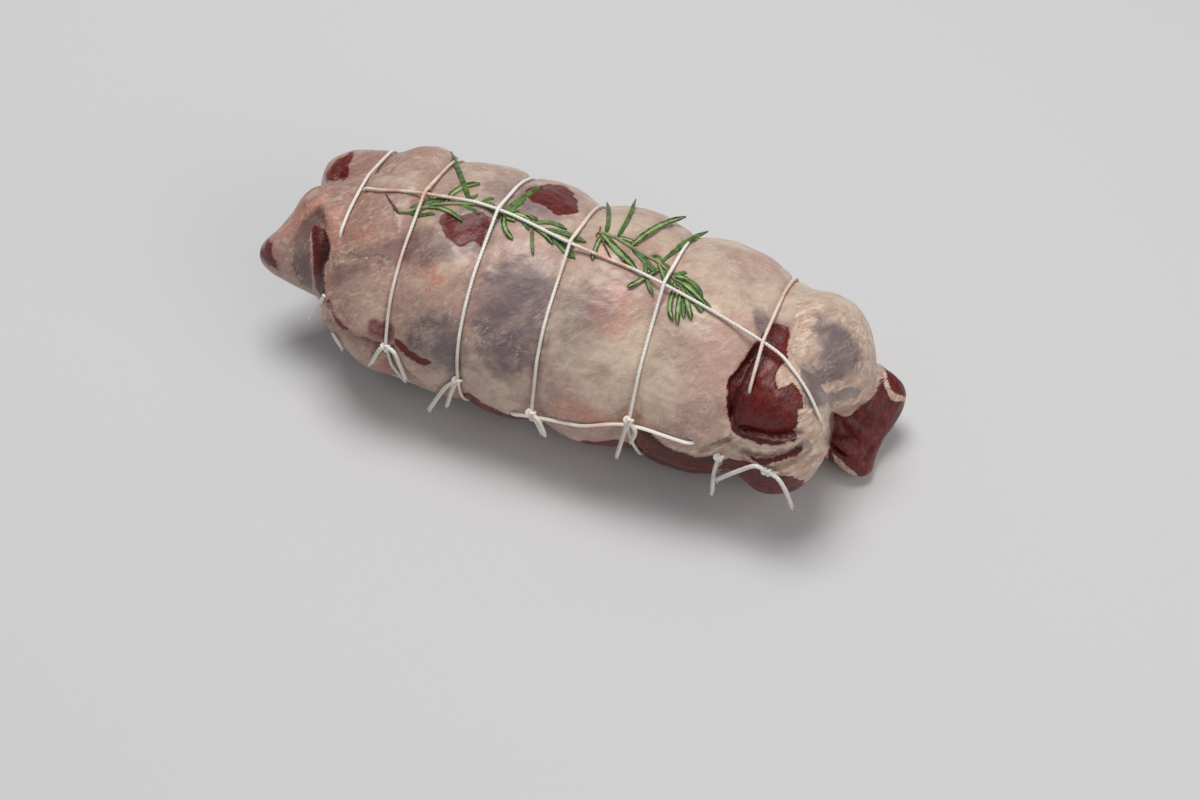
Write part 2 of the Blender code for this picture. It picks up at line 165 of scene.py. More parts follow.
farOff = 400.0
sides = {  # where a place on that side is looked at from, which way, and which two numbers place it
    "left": (lambda a, b: (Vector((-farOff, a, b)), Vector((1, 0, 0))), (1, 2)),
    "right": (lambda a, b: (Vector((farOff, a, b)), Vector((-1, 0, 0))), (1, 2)),
    "back": (lambda a, b: (Vector((a, farOff, b)), Vector((0, -1, 0))), (0, 2)),
    "under": (lambda a, b: (Vector((a, b, -farOff)), Vector((0, 0, 1))), (0, 1)),
    "picture": (lambda a, b: (eye, pictureRay(a, b)), None),
}


def placeOn(tree, side, a, b):
    start, way = sides[side][0](a, b)
    hit, normal, _, _ = tree.ray_cast(start, way, 2000.0)
    return (hit, normal) if hit else None


walkIn = {"towards": (570, 310), "steps": 80, "wholeWay": 250}  # from beside the meat onto it


def nearEdge(tree, a, b):  # a place in the picture, or the first one on the meat on the way to its middle
    across, down = walkIn["towards"]
    for step in range(walkIn["steps"]):
        hit = placeOn(tree, "picture", a + (across - a) * step / walkIn["wholeWay"],
                      b + (down - b) * step / walkIn["wholeWay"])
        if hit:
            break
    return hit


def smoothThrough(points, samples, closed=False):
    count = len(points)
    spans = count if closed else count - 1
    made = []
    for k in range(samples):
        at = k / (samples if closed else samples - 1) * spans
        i = min(int(at), spans - 1)
        f = at - i
        wanted = [i - 1, i, i + 1, i + 2]
        if not closed:
            wanted = [max(0, min(count - 1, j)) for j in wanted]
        a, b, c, d = (np.array(points[j % count], float) for j in wanted)
        made.append(0.5 * (2 * b + (c - a) * f + (2 * a - 5 * b + 4 * c - d) * f * f
                           + (3 * b - a - 3 * c + d) * f ** 3))
    return np.array(made)


def drawnOn(tree, points):  # a smooth line through picture places, on the surface, with its normals
    spread = smoothThrough(points, len(points) * 10)
    hits = [hit for hit in (placeOn(tree, "picture", *place) for place in spread) if hit]
    return np.array([hit[0] for hit in hits]), np.array([hit[1] for hit in hits])


def finderOf(points):
    finder = kdtree.KDTree(len(points))
    for k, point in enumerate(points):
        finder.insert(Vector(point), k)
    finder.balance()
    return finder


def pushedClear(point, tree, clearance, rounds=4):
    for _ in range(rounds):
        near, normal, _, distance = tree.find_nearest(point)
        away = point - near
        if away.dot(normal) < 0 or distance < 1e-6:
            point = near + normal * clearance
        elif distance < clearance:
            point = near + away / distance * clearance
        else:
            break
    return point


# Meat: its shape

meatShape = {
    "voxel": 1.22,
    "subdivisions": 2,
    "smoothRounds": 12,
    "lumps": ((22.0, 0.9), (9.0, 0.4), (4.0, 0.16)),  # size and height of each noise
    "pixel": 0.456,  # size of a picture pixel on the meat
    "lineFade": 0.14,  # share of a lip or crease over which it starts and ends
}
# Edges where one layer lies over another, the higher layer on the left of the line: how much higher and lower
# the two sides get, how far each change reaches, how far the edge leans over, and the line in the picture
lips = [
    (2.4, 6.5, 9, 6, 1.0, [(321, 203), (324, 216), (326, 233), (331, 251), (325, 267), (324, 285), (327, 299),
        (331, 312), (340, 326), (352, 332), (368, 335), (386, 342)]),
    (1.8, 3.6, 6, 5, 1.2, [(338, 325), (352, 332), (368, 335), (386, 342), (395, 345)]),
    (1.6, 3.4, 6, 4, 1.0, [(395, 344), (399, 352), (405, 363), (424, 383), (440, 394)]),
    (1.6, 4.0, 9, 7, 1.0, [(392, 174), (366, 177), (350, 178), (330, 182)]),
    (2.4, 4.2, 7, 4, 1.8, [(768, 343), (752, 367), (743, 391), (737, 411), (733, 426)]),
    (1.2, 2.2, 7, 3, 0.8, [(733, 428), (728, 411), (728, 384), (736, 371), (750, 351), (762, 336)]),
    (2.0, 4.4, 4, 4.5, 1.4, [(803, 434), (796, 438), (776, 441), (760, 438.5), (743, 434), (736, 430)]),
    (2.2, 4.0, 3, 3, 1.4, [(726, 438), (743, 447), (764, 452), (786, 448), (802, 440)]),
    (1.8, 3.2, 3, 3, 1.2, [(738, 456), (760, 465), (778, 462), (797, 455), (815, 442)]),
    (2.2, 3.2, 4, 3, 1.6, [(696, 447), (712, 440), (731, 433)]),
    (1.6, 5.0, 6, 6, 1.8, [(636, 426), (648, 431), (657, 438), (668, 446), (683, 452), (700, 456),
        (716, 455)]),
    (1.8, 4.6, 7, 7, 1.6, [(843, 424), (855, 411), (864, 404), (873, 397), (880, 382), (880, 362)]),
    (1.6, 5.0, 6, 7, 1.4, [(824, 456), (830, 434), (831.5, 415), (829, 395), (820, 377), (806, 362)]),
    (1.2, 2.0, 4, 10, 0.6, [(291, 276), (289, 250), (297, 233), (306, 218), (320, 205)]),
    (1.6, 2.4, 6, 4, 0.8, [(554, 415), (590, 425), (626, 423)]),
    (1.0, 2.0, 6, 4, 0.8, [(470, 392), (486, 411), (507, 421), (526, 424)]),
    (1.4, 1.6, 6, 5, 0.6, [(400, 232), (380, 234), (362, 240), (345, 247), (331, 254)]),
    (1.2, 1.8, 3, 8, 0.6, [(312, 206), (302, 222), (294, 238), (289, 256), (293, 272)]),
]
lipShape = {"blend": 0.9, "leanAt": 0.8, "leanWidth": 1.6}
# Depth, width, and the line in the picture
creases = [
    (0.9, 1.4, [(800, 296), (797, 312), (793, 330), (788, 346)]),
    (0.8, 1.6, [(826, 330), (820, 348), (812, 366)]),
    (0.9, 1.5, [(868, 356), (858, 374), (844, 386)]),
    (0.9, 1.3, [(876, 366), (866, 384), (850, 394)]),
    (0.5, 2.2, [(852, 330), (862, 346), (858, 362)]),
    (0.6, 1.6, [(886, 410), (876, 438), (862, 462)]),
    (0.5, 1.6, [(872, 412), (860, 436), (848, 452)]),
    (0.6, 1.2, [(326, 262), (350, 258), (390, 258)]),
    (1.1, 1.6, [(800, 314), (796, 330), (789, 348)]),
    (0.9, 1.4, [(806, 322), (802, 340), (796, 356)]),
    (0.7, 1.4, [(814, 330), (811, 350), (806, 364)]),
    (1.4, 1.3, [(775, 474), (795, 468), (812, 458), (824, 446)]),
    (1.2, 1.2, [(812, 474), (816, 464), (820, 456)]),
    (1.0, 1.2, [(884, 372), (887, 384), (893, 398)]),
    (0.6, 1.4, [(640, 424), (665, 436), (692, 446)]),
    (1.2, 1.6, [(846, 374), (832, 385), (829, 394)]),
]
creaseShape = {"sharpness": 1.2, "rim": 0.35, "rimAt": 2, "rimWidth": 0.9}
# Small swellings: place in the picture, radius, height
swellings = [
    (803, 474, 4, 1.6), (818, 461, 4, 1.4), (826, 449, 3, 1.2), (780, 468, 5, 1.0), (795, 462, 4, 0.9),
    (483, 380, 3, 0.8), (492, 384, 2.5, 1.0), (718, 404, 6, 0.5), (770, 355, 6, 0.8), (780, 408, 9, 1.2),
    (808, 468, 3, 1.6), (812, 452, 3, 1.0), (790, 472, 3.5, 1.2), (816, 372, 8, 1.0), (600, 432, 10, 1.0),
    (560, 428, 9, 0.8), (345, 272, 7, 0.8), (700, 478, 7, 0.8),
]
# Sculpted moves: a place in the picture, how far it goes there in pixels, and the reach in millimetres
grabs = [
    ((262, 256), (-5, -3), 12), ((321, 201), (-4, -12), 16), ((337, 170), (-8, -7), 16),
    ((425, 153), (0, -5), 22), ((500, 408), (0, 8), 15), ((860, 455), (4, 12), 13),
    ((888, 385), (10, -1), 14),
]


def numbersOf(mesh):
    co = np.empty(len(mesh.vertices) * 3, np.float32)
    mesh.vertices.foreach_get("co", co)
    return co.reshape(-1, 3).astype(float) / mm


def putBack(mesh, co):
    mesh.vertices.foreach_set("co", (co * mm).astype(np.float32).ravel())
    mesh.update()


def normalsOf(mesh):
    normals = np.empty(len(mesh.vertices) * 3, np.float32)
    mesh.vertex_normals.foreach_get("vector", normals)
    return normals.reshape(-1, 3).astype(float)


def edgesOf(mesh):
    edges = np.empty(len(mesh.edges) * 2, np.int32)
    mesh.edges.foreach_get("vertices", edges)
    return edges.reshape(-1, 2)


def relaxed(co, edges, rounds, factor=0.5):
    counts = np.bincount(edges.ravel(), minlength=len(co))[:, None]
    for _ in range(rounds):
        total = np.stack([np.bincount(edges[:, 0], co[edges[:, 1], i], len(co))
                          + np.bincount(edges[:, 1], co[edges[:, 0], i], len(co)) for i in range(3)], 1)
        co = co * (1 - factor) + total / counts * factor
    return co


def noiseAt(co, size, shift=0.0):
    at = co / size + shift
    return np.array([noise.noise(row) for row in at.tolist()])


def makeMeat():
    mesh = nodes["meat"].data.copy()
    mesh.materials.clear()
    made = placed("meat_roll", mesh)
    cleaned(made, 1e-5, bpy.ops.mesh.tris_convert_to_quads)
    soften = made.modifiers.new("soften", "SUBSURF")
    soften.levels = soften.render_levels = meatShape["subdivisions"]
    even = made.modifiers.new("even", "REMESH")
    even.mode = "VOXEL"
    even.voxel_size = meatShape["voxel"] * mm
    for name in ("soften", "even"):
        bpy.ops.object.modifier_apply(modifier=name)
    return made


def besideLine(co, facing, line, lineNormals, reach):  # points near a drawn line, and how far to its left
    low, high = line.min(0) - reach, line.max(0) + reach
    near = np.nonzero(((co > low) & (co < high)).all(1))[0]
    forward = unit(np.gradient(line, axis=0))
    leftward = unit(np.cross(lineNormals, forward))
    kept, across, shares, ways = [], [], [], []
    for chunk in np.array_split(near, max(1, len(near) // 3000)):
        gaps = co[chunk][:, None] - line[None]
        far = (gaps ** 2).sum(2)
        k = far.argmin(1)
        rows = np.arange(len(chunk))
        fits = (far[rows, k] < reach * reach) & ((facing[chunk] * lineNormals[k]).sum(1) > -0.2)
        kept.append(chunk[fits])
        across.append((gaps[rows, k] * leftward[k]).sum(1)[fits])
        shares.append(k[fits] / (len(line) - 1))
        ways.append(leftward[k][fits])
    kept, across, shares, ways = (np.concatenate(part) for part in (kept, across, shares, ways))
    fade = eased(shares / meatShape["lineFade"]) * eased((1 - shares) / meatShape["lineFade"])
    return kept, across, fade, ways


def addLips(co, facing, tree):
    blend = lipShape["blend"]
    for high, low, back, drop, over, points in lips:
        line, lineNormals = drawnOn(tree, points)
        who, t, fade, ways = besideLine(co, facing, line, lineNormals, 3 * max(back, drop))
        upper = eased((t + blend) / (2 * blend))
        rise = upper * high * np.exp(-np.maximum(t, 0) / back)
        rise -= (1 - upper) * low * np.exp(np.minimum(t, 0) / drop)
        lean = over * np.exp(-((t - lipShape["leanAt"]) / lipShape["leanWidth"]) ** 2)
        co[who] += facing[who] * (rise * fade)[:, None] - ways * (lean * fade)[:, None]


def addCreases(co, facing, tree):
    for depth, width, points in creases:
        line, lineNormals = drawnOn(tree, points)
        who, t, fade, _ = besideLine(co, facing, line, lineNormals, 5 * width)
        t = np.abs(t) / width
        rim = np.exp(-((t - creaseShape["rimAt"]) / creaseShape["rimWidth"]) ** 2)
        rise = -depth * np.exp(-t * creaseShape["sharpness"]) + creaseShape["rim"] * depth * rim
        co[who] += facing[who] * (rise * fade)[:, None]


def addGrabs(co, tree):
    for place, (across, down), reach in grabs:
        hit = nearEdge(tree, *place)
        if hit:
            move = (rightWay * across - upWay * down) * meatShape["pixel"]
            far = ((co - np.array(hit[0])) ** 2).sum(1)
            co += np.array(move) * np.exp(-far / reach ** 2)[:, None]


def addSwellings(co, facing, tree):
    for across, down, radius, height in swellings:
        hit = placeOn(tree, "picture", across, down)
        if hit:
            far = ((co - np.array(hit[0])) ** 2).sum(1)
            co += facing * (height * np.exp(-far / radius ** 2))[:, None]


meat = makeMeat()
co, edges = numbersOf(meat.data), edgesOf(meat.data)
co = relaxed(co, edges, meatShape["smoothRounds"])
addGrabs(co, treeOf(meat))
putBack(meat.data, co)
facing = normalsOf(meat.data)
smoothTree = treeOf(meat)
for size, height in meatShape["lumps"]:
    co += facing * (height * noiseAt(co, size, size))[:, None]
addLips(co, facing, smoothTree)
addCreases(co, facing, smoothTree)
addSwellings(co, facing, smoothTree)
say(f"meat shaped, {len(meat.data.polygons)} faces")


# Meat: where each finish is

# Finish, softness, raggedness, strength, how far it is sunk, and its outline. The dark finish is painted
# shade, laid into clefts, creases and under lips
seenPatches = [
    ("muscle", 1.4, 1.0, 1.0, 0.6, [(440, 218), (447, 213), (459, 216), (478, 211), (492, 219), (489, 232),
        (484, 246), (477, 244), (471, 242), (459, 246), (449, 239), (442, 229)]),
    ("muscle", 1.4, 1.2, 1.0, 0.5, [(527, 190), (545, 184), (565, 186), (575, 196), (578, 208), (573, 214),
        (556, 213), (545, 206), (532, 200)]),
    ("purple", 3.0, 2.0, 0.8, 0.0, [(434, 214), (447, 208), (478, 205), (498, 218), (492, 240), (482, 250),
        (458, 252), (440, 240)]),
    ("muscle", 0.5, 0.8, 1.0, 0.5, [(773, 324), (787, 326), (790, 334), (787, 347), (788, 357), (781, 367),
        (777, 372), (778, 388), (790, 382), (800, 392), (803, 407), (801, 422), (794, 430), (799, 437),
        (789, 443), (768, 445), (750, 440), (733, 432), (728, 411), (728, 384), (736, 371), (750, 351),
        (762, 335)]),
    ("muscle", 0.5, 0.8, 0.9, 0.0, [(747, 453), (760, 459), (778, 456), (797, 447), (803, 447), (797, 455),
        (778, 462), (760, 465)]),
    ("muscle", 0.7, 0.6, 1.0, 0.0, [(312, 230), (320, 226), (326, 233), (331, 251), (325, 267), (324, 285),
        (325, 297), (316, 289), (312, 272)]),
    ("muscle", 2.6, 1.2, 0.72, 0.0, [(254, 254), (262, 246), (270, 237), (275, 250), (281, 272), (271, 268)]),
    ("purple", 0.8, 0.5, 1.0, 0.5, [(369, 320), (385, 322), (394, 327), (393, 341), (381, 341), (369, 335)]),
    ("muscle", 1.1, 0.7, 0.85, 0.3, [(396, 339), (406, 346), (414, 353), (432, 362), (424, 366), (411, 360),
        (399, 350)]),
    ("muscle", 0.8, 0.8, 0.75, 0.0, [(329, 300), (334, 310), (341, 322), (352, 330), (350, 334), (338, 328),
        (331, 317), (326, 304)]),
    ("muscle", 1.0, 0.6, 0.46, 0.0, [(369, 320), (385, 322), (394, 327), (393, 341), (381, 341), (369, 335)]),
    ("muscle", 2.2, 1.6, 0.85, 0.0, [(328, 182), (328, 172), (337, 160), (350, 151), (353, 157), (348, 168),
        (347, 179)]),
    ("muscle", 0.6, 0.8, 1.0, 0.0, [(881, 360), (892, 368), (912, 396), (897, 440), (880, 488), (850, 486),
        (828, 458), (829, 430), (831, 412), (848, 417), (860, 406), (872, 398), (879, 382)]),
    ("muscle", 0.6, 0.9, 1.0, 0.0, [(636, 428), (650, 434), (668, 447), (683, 453), (700, 458), (714, 457),
        (712, 475), (694, 484), (668, 480), (655, 464), (634, 452)]),
    ("muscle", 0.6, 1.2, 0.95, 0.0, [(722, 462), (735, 458), (760, 466), (778, 476), (800, 474), (812, 484),
        (790, 496), (760, 500), (735, 490), (722, 480)]),
    ("muscle", 0.8, 0.9, 0.95, 0.0, [(466, 393), (482, 402), (500, 411), (516, 416), (528, 417), (528, 440),
        (500, 440), (474, 424), (458, 404)]),
    ("muscle", 0.8, 0.9, 0.8, 0.0, [(556, 437), (580, 441), (622, 440), (640, 443), (640, 460), (600, 458),
        (556, 452)]),
    ("purple", 8.0, 6.0, 1.0, 0.0, [(482, 280), (500, 264), (530, 262), (556, 282), (548, 320), (540, 362),
        (516, 376), (492, 372), (478, 350), (474, 310)]),
    ("purple", 8.0, 5.0, 0.55, 0.0, [(556, 300), (585, 285), (606, 305), (590, 345), (558, 356)]),
    ("purple", 5.0, 3.0, 1.0, 0.0, [(402, 336), (425, 316), (458, 320), (463, 372), (445, 376), (425, 362),
        (408, 354)]),
    ("purple", 4.0, 3.0, 0.75, 0.0, [(346, 258), (372, 246), (398, 234), (440, 226), (455, 252), (430, 268),
        (400, 264), (370, 264)]),
    ("purple", 3.0, 2.0, 0.7, 0.0, [(334, 264), (358, 262), (374, 268), (352, 280), (332, 286)]),
    ("purple", 4.0, 4.0, 0.5, 0.0, [(482, 182), (505, 178), (524, 190), (520, 206), (500, 208), (488, 200)]),
    ("purple", 3.0, 3.0, 0.8, 0.0, [(516, 188), (530, 186), (548, 206), (566, 218), (545, 220), (520, 210)]),
    ("purple", 1.2, 1.5, 0.95, 0.0, [(306, 219), (320, 207), (324, 230), (312, 234), (311, 262), (313, 287),
        (300, 281), (292, 262), (297, 236)]),
    ("purple", 1.6, 1.6, 0.95, 0.0, [(753, 316), (759, 309), (773, 320), (789, 324), (790, 331), (775, 340),
        (760, 334)]),
    ("purple", 1.4, 2.0, 0.8, 0.0, [(816, 319), (826, 323), (823, 333), (817, 330)]),
    ("purple", 3.0, 2.5, 1.0, 0.0, [(810, 310), (828, 321), (848, 329), (863, 345), (861, 364), (848, 377),
        (832, 383), (812, 392), (810, 374), (822, 356), (820, 342), (810, 328)]),
    ("purple", 2.0, 2.0, 0.8, 0.0, [(822, 392), (840, 386), (858, 384), (868, 388), (860, 398), (842, 404),
        (828, 402)]),
    ("purple", 1.4, 2.0, 0.9, 0.0, [(829, 395), (847, 391), (864, 394), (858, 404), (845, 402), (833, 402)]),
    ("purple", 2.0, 2.5, 1.0, 0.0, [(798, 368), (813, 368), (825, 385), (826, 402), (812, 412), (804, 400)]),
    ("purple", 1.2, 1.8, 0.7, 0.0, [(800, 442), (815, 436), (812, 446), (800, 452), (786, 456)]),
    ("purple", 2.0, 2.0, 0.5, 0.0, [(476, 408), (500, 414), (520, 420), (516, 428), (490, 422)]),
    ("fat", 0.8, 1.5, 1.0, -0.3, [(778, 371), (790, 361), (801, 372), (791, 383), (779, 389)]),
    ("fat", 1.2, 2.2, 0.95, 0.0, [(800, 412), (815, 406), (829, 424), (826, 446), (806, 440), (797, 432)]),
    ("fat", 0.6, 1.0, 1.0, 0.0, [(731, 436), (745, 445), (764, 450), (786, 445), (799, 438), (801, 442),
        (790, 451), (765, 457), (742, 453), (727, 444)]),
    ("fat", 0.8, 1.4, 0.95, 0.0, [(736, 452), (750, 457), (762, 467), (800, 455), (822, 441), (830, 450),
        (818, 468), (806, 482), (790, 476), (772, 471), (752, 464)]),
    ("fat", 1.0, 1.4, 0.85, 0.0, [(652, 430), (668, 442), (690, 449), (712, 440), (730, 433), (727, 444),
        (712, 455), (690, 453), (664, 444)]),
    ("fat", 1.2, 2.2, 0.8, 0.0, [(820, 385), (845, 380), (868, 378), (879, 380), (870, 394), (850, 388),
        (832, 394)]),
    ("fat", 0.7, 0.6, 1.0, -0.4, [(880, 362), (885, 370), (889, 384), (896, 394), (905, 396), (904, 401),
        (895, 401), (887, 394), (882, 380)]),
    ("flush", 1.5, 1.0, 0.9, 0.0, [(882, 360), (892, 368), (910, 394), (897, 396), (889, 384)]),
    ("fat", 3.0, 3.0, 0.75, -0.2, [(795, 300), (812, 296), (822, 304), (816, 320), (810, 345), (800, 362),
        (790, 350), (794, 325)]),
    ("fat", 4.0, 4.0, 0.65, 0.0, [(838, 304), (858, 312), (874, 340), (878, 362), (868, 380), (858, 372),
        (860, 350), (848, 328)]),
    ("fat", 0.6, 0.6, 0.9, 0.0, [(829, 446), (836, 455), (848, 467), (860, 476), (852, 478), (836, 464)]),
    ("fat", 0.9, 1.6, 0.9, -0.3, [(866, 372), (878, 364), (880, 376), (874, 392), (858, 402), (838, 406),
        (838, 401), (856, 396), (868, 386)]),
    ("fat", 1.5, 2.0, 0.3, 0.0, [(277, 244), (288, 256), (292, 272), (284, 272), (275, 256)]),
    ("fat", 1.5, 2.0, 0.7, 0.0, [(311, 296), (325, 303), (335, 318), (330, 322), (316, 312)]),
    ("fat", 2.0, 2.0, 0.35, 0.0, [(342, 330), (368, 338), (392, 346), (404, 372), (395, 372), (370, 356),
        (346, 338)]),
    ("flush", 4.0, 4.0, 0.8, 0.0, [(425, 256), (440, 262), (446, 285), (432, 290), (424, 275)]),
    ("flush", 3.0, 3.0, 0.7, 0.0, [(356, 232), (372, 230), (378, 240), (362, 246)]),
    ("flush", 6.0, 6.0, 0.45, 0.0, [(590, 300), (625, 285), (640, 310), (625, 335), (598, 330)]),
    ("flush", 3.0, 4.0, 0.7, 0.0, [(560, 400), (620, 415), (640, 408), (640, 420), (600, 425), (560, 415)]),
    ("flush", 3.0, 3.0, 0.55, 0.0, [(330, 212), (345, 212), (344, 250), (332, 250), (327, 225)]),
    ("flush", 3.0, 3.0, 0.6, 0.0, [(270, 235), (290, 215), (312, 206), (296, 230), (286, 250), (276, 246)]),
    # dark patches: painted shade in the clefts, the crease and under the lips
    ("dark", 1.4, 0.8, 0.85, 0.0, [(321, 232), (327, 240), (330, 252), (325, 266), (323, 284), (326, 299),
        (320, 292), (318, 270), (319, 250)]),
    ("dark", 1.3, 0.6, 0.65, 0.0, [(733, 427), (738, 408), (745, 388), (755, 366), (767, 347), (763, 362),
        (753, 386), (745, 408), (741, 428)]),
    ("dark", 1.0, 0.6, 0.8, 0.0, [(740, 431), (760, 436), (776, 438.5), (795, 435), (804, 431), (797, 440),
        (776, 444), (757, 442), (741, 437)]),
    ("dark", 1.4, 0.8, 0.6, 0.0, [(640, 429), (655, 437), (668, 448), (685, 455), (700, 458), (716, 456),
        (712, 462), (694, 464), (668, 456), (650, 444)]),
    ("fat", 0.5, 0.5, 0.6, -0.2, [(310, 232), (313, 233), (314, 262), (315.5, 288), (312.5, 289),
        (311, 262)]),
    ("fat", 0.6, 0.8, 0.4, 0.0, [(310, 206), (312, 208), (300, 226), (293, 249), (295, 272), (291, 271),
        (289, 248), (297, 224)]),
    ("fat", 0.6, 0.8, 0.5, -0.2, [(333, 262), (355, 257), (392, 256), (393, 258.5), (356, 260), (334, 266)]),
    ("fat", 0.6, 0.8, 0.4, 0.0, [(338, 256), (352, 246), (372, 239), (398, 233), (398, 235), (373, 242),
        (354, 249), (340, 260)]),
    # more dark patches: painted shade along clefts, creases and under lips
    ("dark", 1.2, 0.8, 0.4, 0.0, [(763, 337), (752, 352), (738, 372), (729, 388), (729, 412), (734, 428),
        (741, 424), (745, 405), (752, 385), (761, 363), (769, 346)]),
    ("dark", 1.0, 0.6, 0.4, 0.0, [(346, 333), (368, 338), (386, 345), (396, 349), (404, 362), (394, 354),
        (384, 349), (366, 342)]),
    ("dark", 0.8, 0.5, 0.5, 0.0, [(698, 450), (712, 443), (730, 437), (731, 441), (714, 449), (701, 454)]),
    ("dark", 0.8, 0.5, 0.4, 0.0, [(760, 467), (778, 464), (797, 457), (812, 446), (806, 456), (792, 464),
        (776, 469)]),
    ("dark", 0.8, 0.5, 0.6, 0.0, [(743, 449), (764, 454), (786, 450), (802, 442), (800, 447), (786, 455),
        (764, 459), (744, 454)]),
    ("dark", 1.2, 0.6, 0.6, 0.0, [(829, 400), (834, 414), (833, 432), (829, 448), (825, 440), (828, 420)]),
    ("flush", 2.0, 2.0, 0.6, 0.0, [(264, 244), (284, 222), (306, 206), (326, 198), (318, 208), (300, 224),
        (286, 246), (280, 262), (272, 252)]),
    ("flush", 3.0, 2.0, 0.5, 0.0, [(352, 346), (372, 350), (396, 362), (402, 376), (384, 372), (362, 360)]),
]
hiddenPatches = [  # the same with the side, and the outline in millimetres on it
    ("muscle", "left", 1.5, 2.0, 0.9, 0.3, [(-34, 30), (-22, 24), (-8, 28), (2, 40), (-8, 52), (-20, 46)]),
    ("muscle", "left", 1.5, 2.0, 0.9, 0.5, [(8, 26), (22, 30), (30, 42), (24, 56), (12, 50), (6, 38)]),
    ("muscle", "back", 1.5, 3.0, 0.85, 0.4, [(-110, 22), (-80, 14), (-50, 16), (-62, 26), (-88, 30)]),
    ("muscle", "back", 1.5, 3.0, 0.9, 0.4, [(30, 16), (66, 12), (96, 18), (110, 30), (92, 36), (60, 28)]),
    ("muscle", "right", 1.5, 2.5, 0.9, 0.3, [(40, 12), (50, 18), (54, 32), (46, 42), (40, 30)]),
    ("purple", "back", 8.0, 6.0, 0.7, 0.0, [(-70, 34), (-30, 30), (0, 44), (-20, 66), (-58, 58)]),
    ("purple", "back", 6.0, 5.0, 0.6, 0.0, [(54, 48), (86, 44), (98, 64), (70, 76)]),
    ("fat", "back", 3.0, 4.0, 0.8, -0.3, [(-20, 14), (24, 12), (34, 26), (0, 30), (-24, 26)]),
    ("muscle", "under", 1.5, 4.0, 0.9, 0.8, [(-90, -22), (-40, -28), (20, -24), (70, -26), (98, -14),
        (60, -8), (0, -12), (-60, -10)]),
]
grains = {  # which way the fibres run in a patch, by its outline's first point
    (440, 218): ((446, 238), (486, 222)), (527, 190): ((535, 192), (570, 205)),
    (773, 324): ((748, 410), (796, 352)), (881, 360): ((870, 404), (852, 446)),
    (636, 428): ((650, 440), (696, 468)), (722, 462): ((732, 468), (780, 482)),
    (312, 230): ((318, 236), (321, 286)),
}


def outlineDistance(points, outline):  # inside is positive
    inside = np.zeros(len(points), bool)
    nearest = np.full(len(points), 1e9)
    for a, b in zip(outline, np.roll(outline, -1, axis=0)):
        rises = (a[1] > points[:, 1]) != (b[1] > points[:, 1])
        slope = (b[0] - a[0]) / (b[1] - a[1] if abs(b[1] - a[1]) > 1e-9 else 1e-9)
        inside ^= rises & (points[:, 0] < slope * (points[:, 1] - a[1]) + a[0])
        span = b - a
        t = np.clip(((points - a) @ span) / max(span @ span, 1e-9), 0, 1)
        nearest = np.minimum(nearest, np.linalg.norm(points - a - t[:, None] * span, axis=1))
    return np.where(inside, nearest, -nearest)


patchEdge = {"deep": 25, "turned": 0.15}  # how far off, and how far turned away, the meat still takes a patch


def patchMask(co, facing, side, outline, softness, raggedness, ragged, tree):
    outline = smoothThrough(outline, len(outline) * 5, True)
    hits = [hit[0] for hit in (placeOn(tree, side, *place) for place in outline) if hit]
    if not hits:
        say(f"a patch misses the meat at {outline[0]}")
        return np.zeros(len(co))
    if side == "picture":
        places, deep = inPicture(co)
        _, hitDeep = inPicture(hits)
        size, towards = meatShape["pixel"], np.array(backWay)
    else:
        _, (first, second) = sides[side]
        places, size = co[:, (first, second)], 1.0
        towards = -np.array(sides[side][0](0, 0)[1])
        deep, hitDeep = -co @ towards, -np.array(hits) @ towards
    mask = np.zeros(len(co))
    turned, far = patchEdge["turned"], patchEdge["deep"]
    reach = (softness + raggedness + 2) / size
    near = ((places > outline.min(0) - reach) & (places < outline.max(0) + reach)).all(1)
    near &= (deep > np.min(hitDeep) - far) & (deep < np.max(hitDeep) + far) & (facing @ towards > -turned)
    distance = outlineDistance(places[near], outline) * size + ragged[near] * raggedness
    mask[near] = eased((distance + softness) / (2 * softness))
    mask[near] *= eased((facing[near] @ towards + turned) / (2 * turned))
    return mask


# Size and height of the fine forms
surface = {"fibres": (2.2, 0.18), "fat": (2.6, 0.55), "wrinkles": (5.0, 0.34), "grain": (2.6, 0.16)}


def roughened(kind, at, seed, where, formed=lambda noises: noises):
    size, height = surface[kind]
    return facing * (height * formed(noiseAt(at, size, seed)) * where)[:, None]


# dark gathers the painted shade of clefts, creases and under lips
finishes = {name: np.zeros(len(co)) for name in ("muscle", "purple", "fat", "flush", "dark", "pink")}
pinkEnd = {"from": -30, "over": 80, "strength": 0.85}  # the shank end is pinker
finishes["pink"] = pinkEnd["strength"] * eased((pinkEnd["from"] - co[:, 0]) / pinkEnd["over"])
strand = co.copy()
ragged = 0.96 * noiseAt(co, 5.0, 3.3) + 0.6 * noiseAt(co, 2.2, 8.1)
for finish, side, softness, raggedness, strength, sink, outline in (
        [(name, "picture", *rest) for name, *rest in seenPatches] + hiddenPatches):
    mask = patchMask(co, facing, side, outline, softness, raggedness, ragged, smoothTree) * strength
    finishes[finish] = np.maximum(finishes[finish], mask)
    if finish == "fat":
        finishes["muscle"] *= 1 - mask
    co -= facing * (sink * mask)[:, None]
    ends = [placeOn(smoothTree, side, *place) for place in grains.get(outline[0], ())]
    if ends and all(ends):
        along = unit(np.array(ends[1][0] - ends[0][0]))
        outward = unit(np.array(ends[0][1]))
        across = unit(np.cross(outward, along))
        outward = np.cross(along, across)
        who = mask > 0.02
        strand[who] = np.stack((co[who] @ along, co[who] @ across, co[who] @ outward), 1)
co += roughened("fibres", strand * np.array((0.12, 1, 0.6)), 5.0, finishes["muscle"])
slanted = np.stack((co[:, 0] * 0.42 + co[:, 1] * 0.25, co[:, 1], co[:, 2]), 1)
co += roughened("fat", slanted, 9.0, finishes["fat"])
plain = (1 - finishes["muscle"]) * (1 - 0.5 * finishes["purple"])
wrinkled = eased(noiseAt(co, 26.0, 2.0) * 1.4 + 0.45) * plain
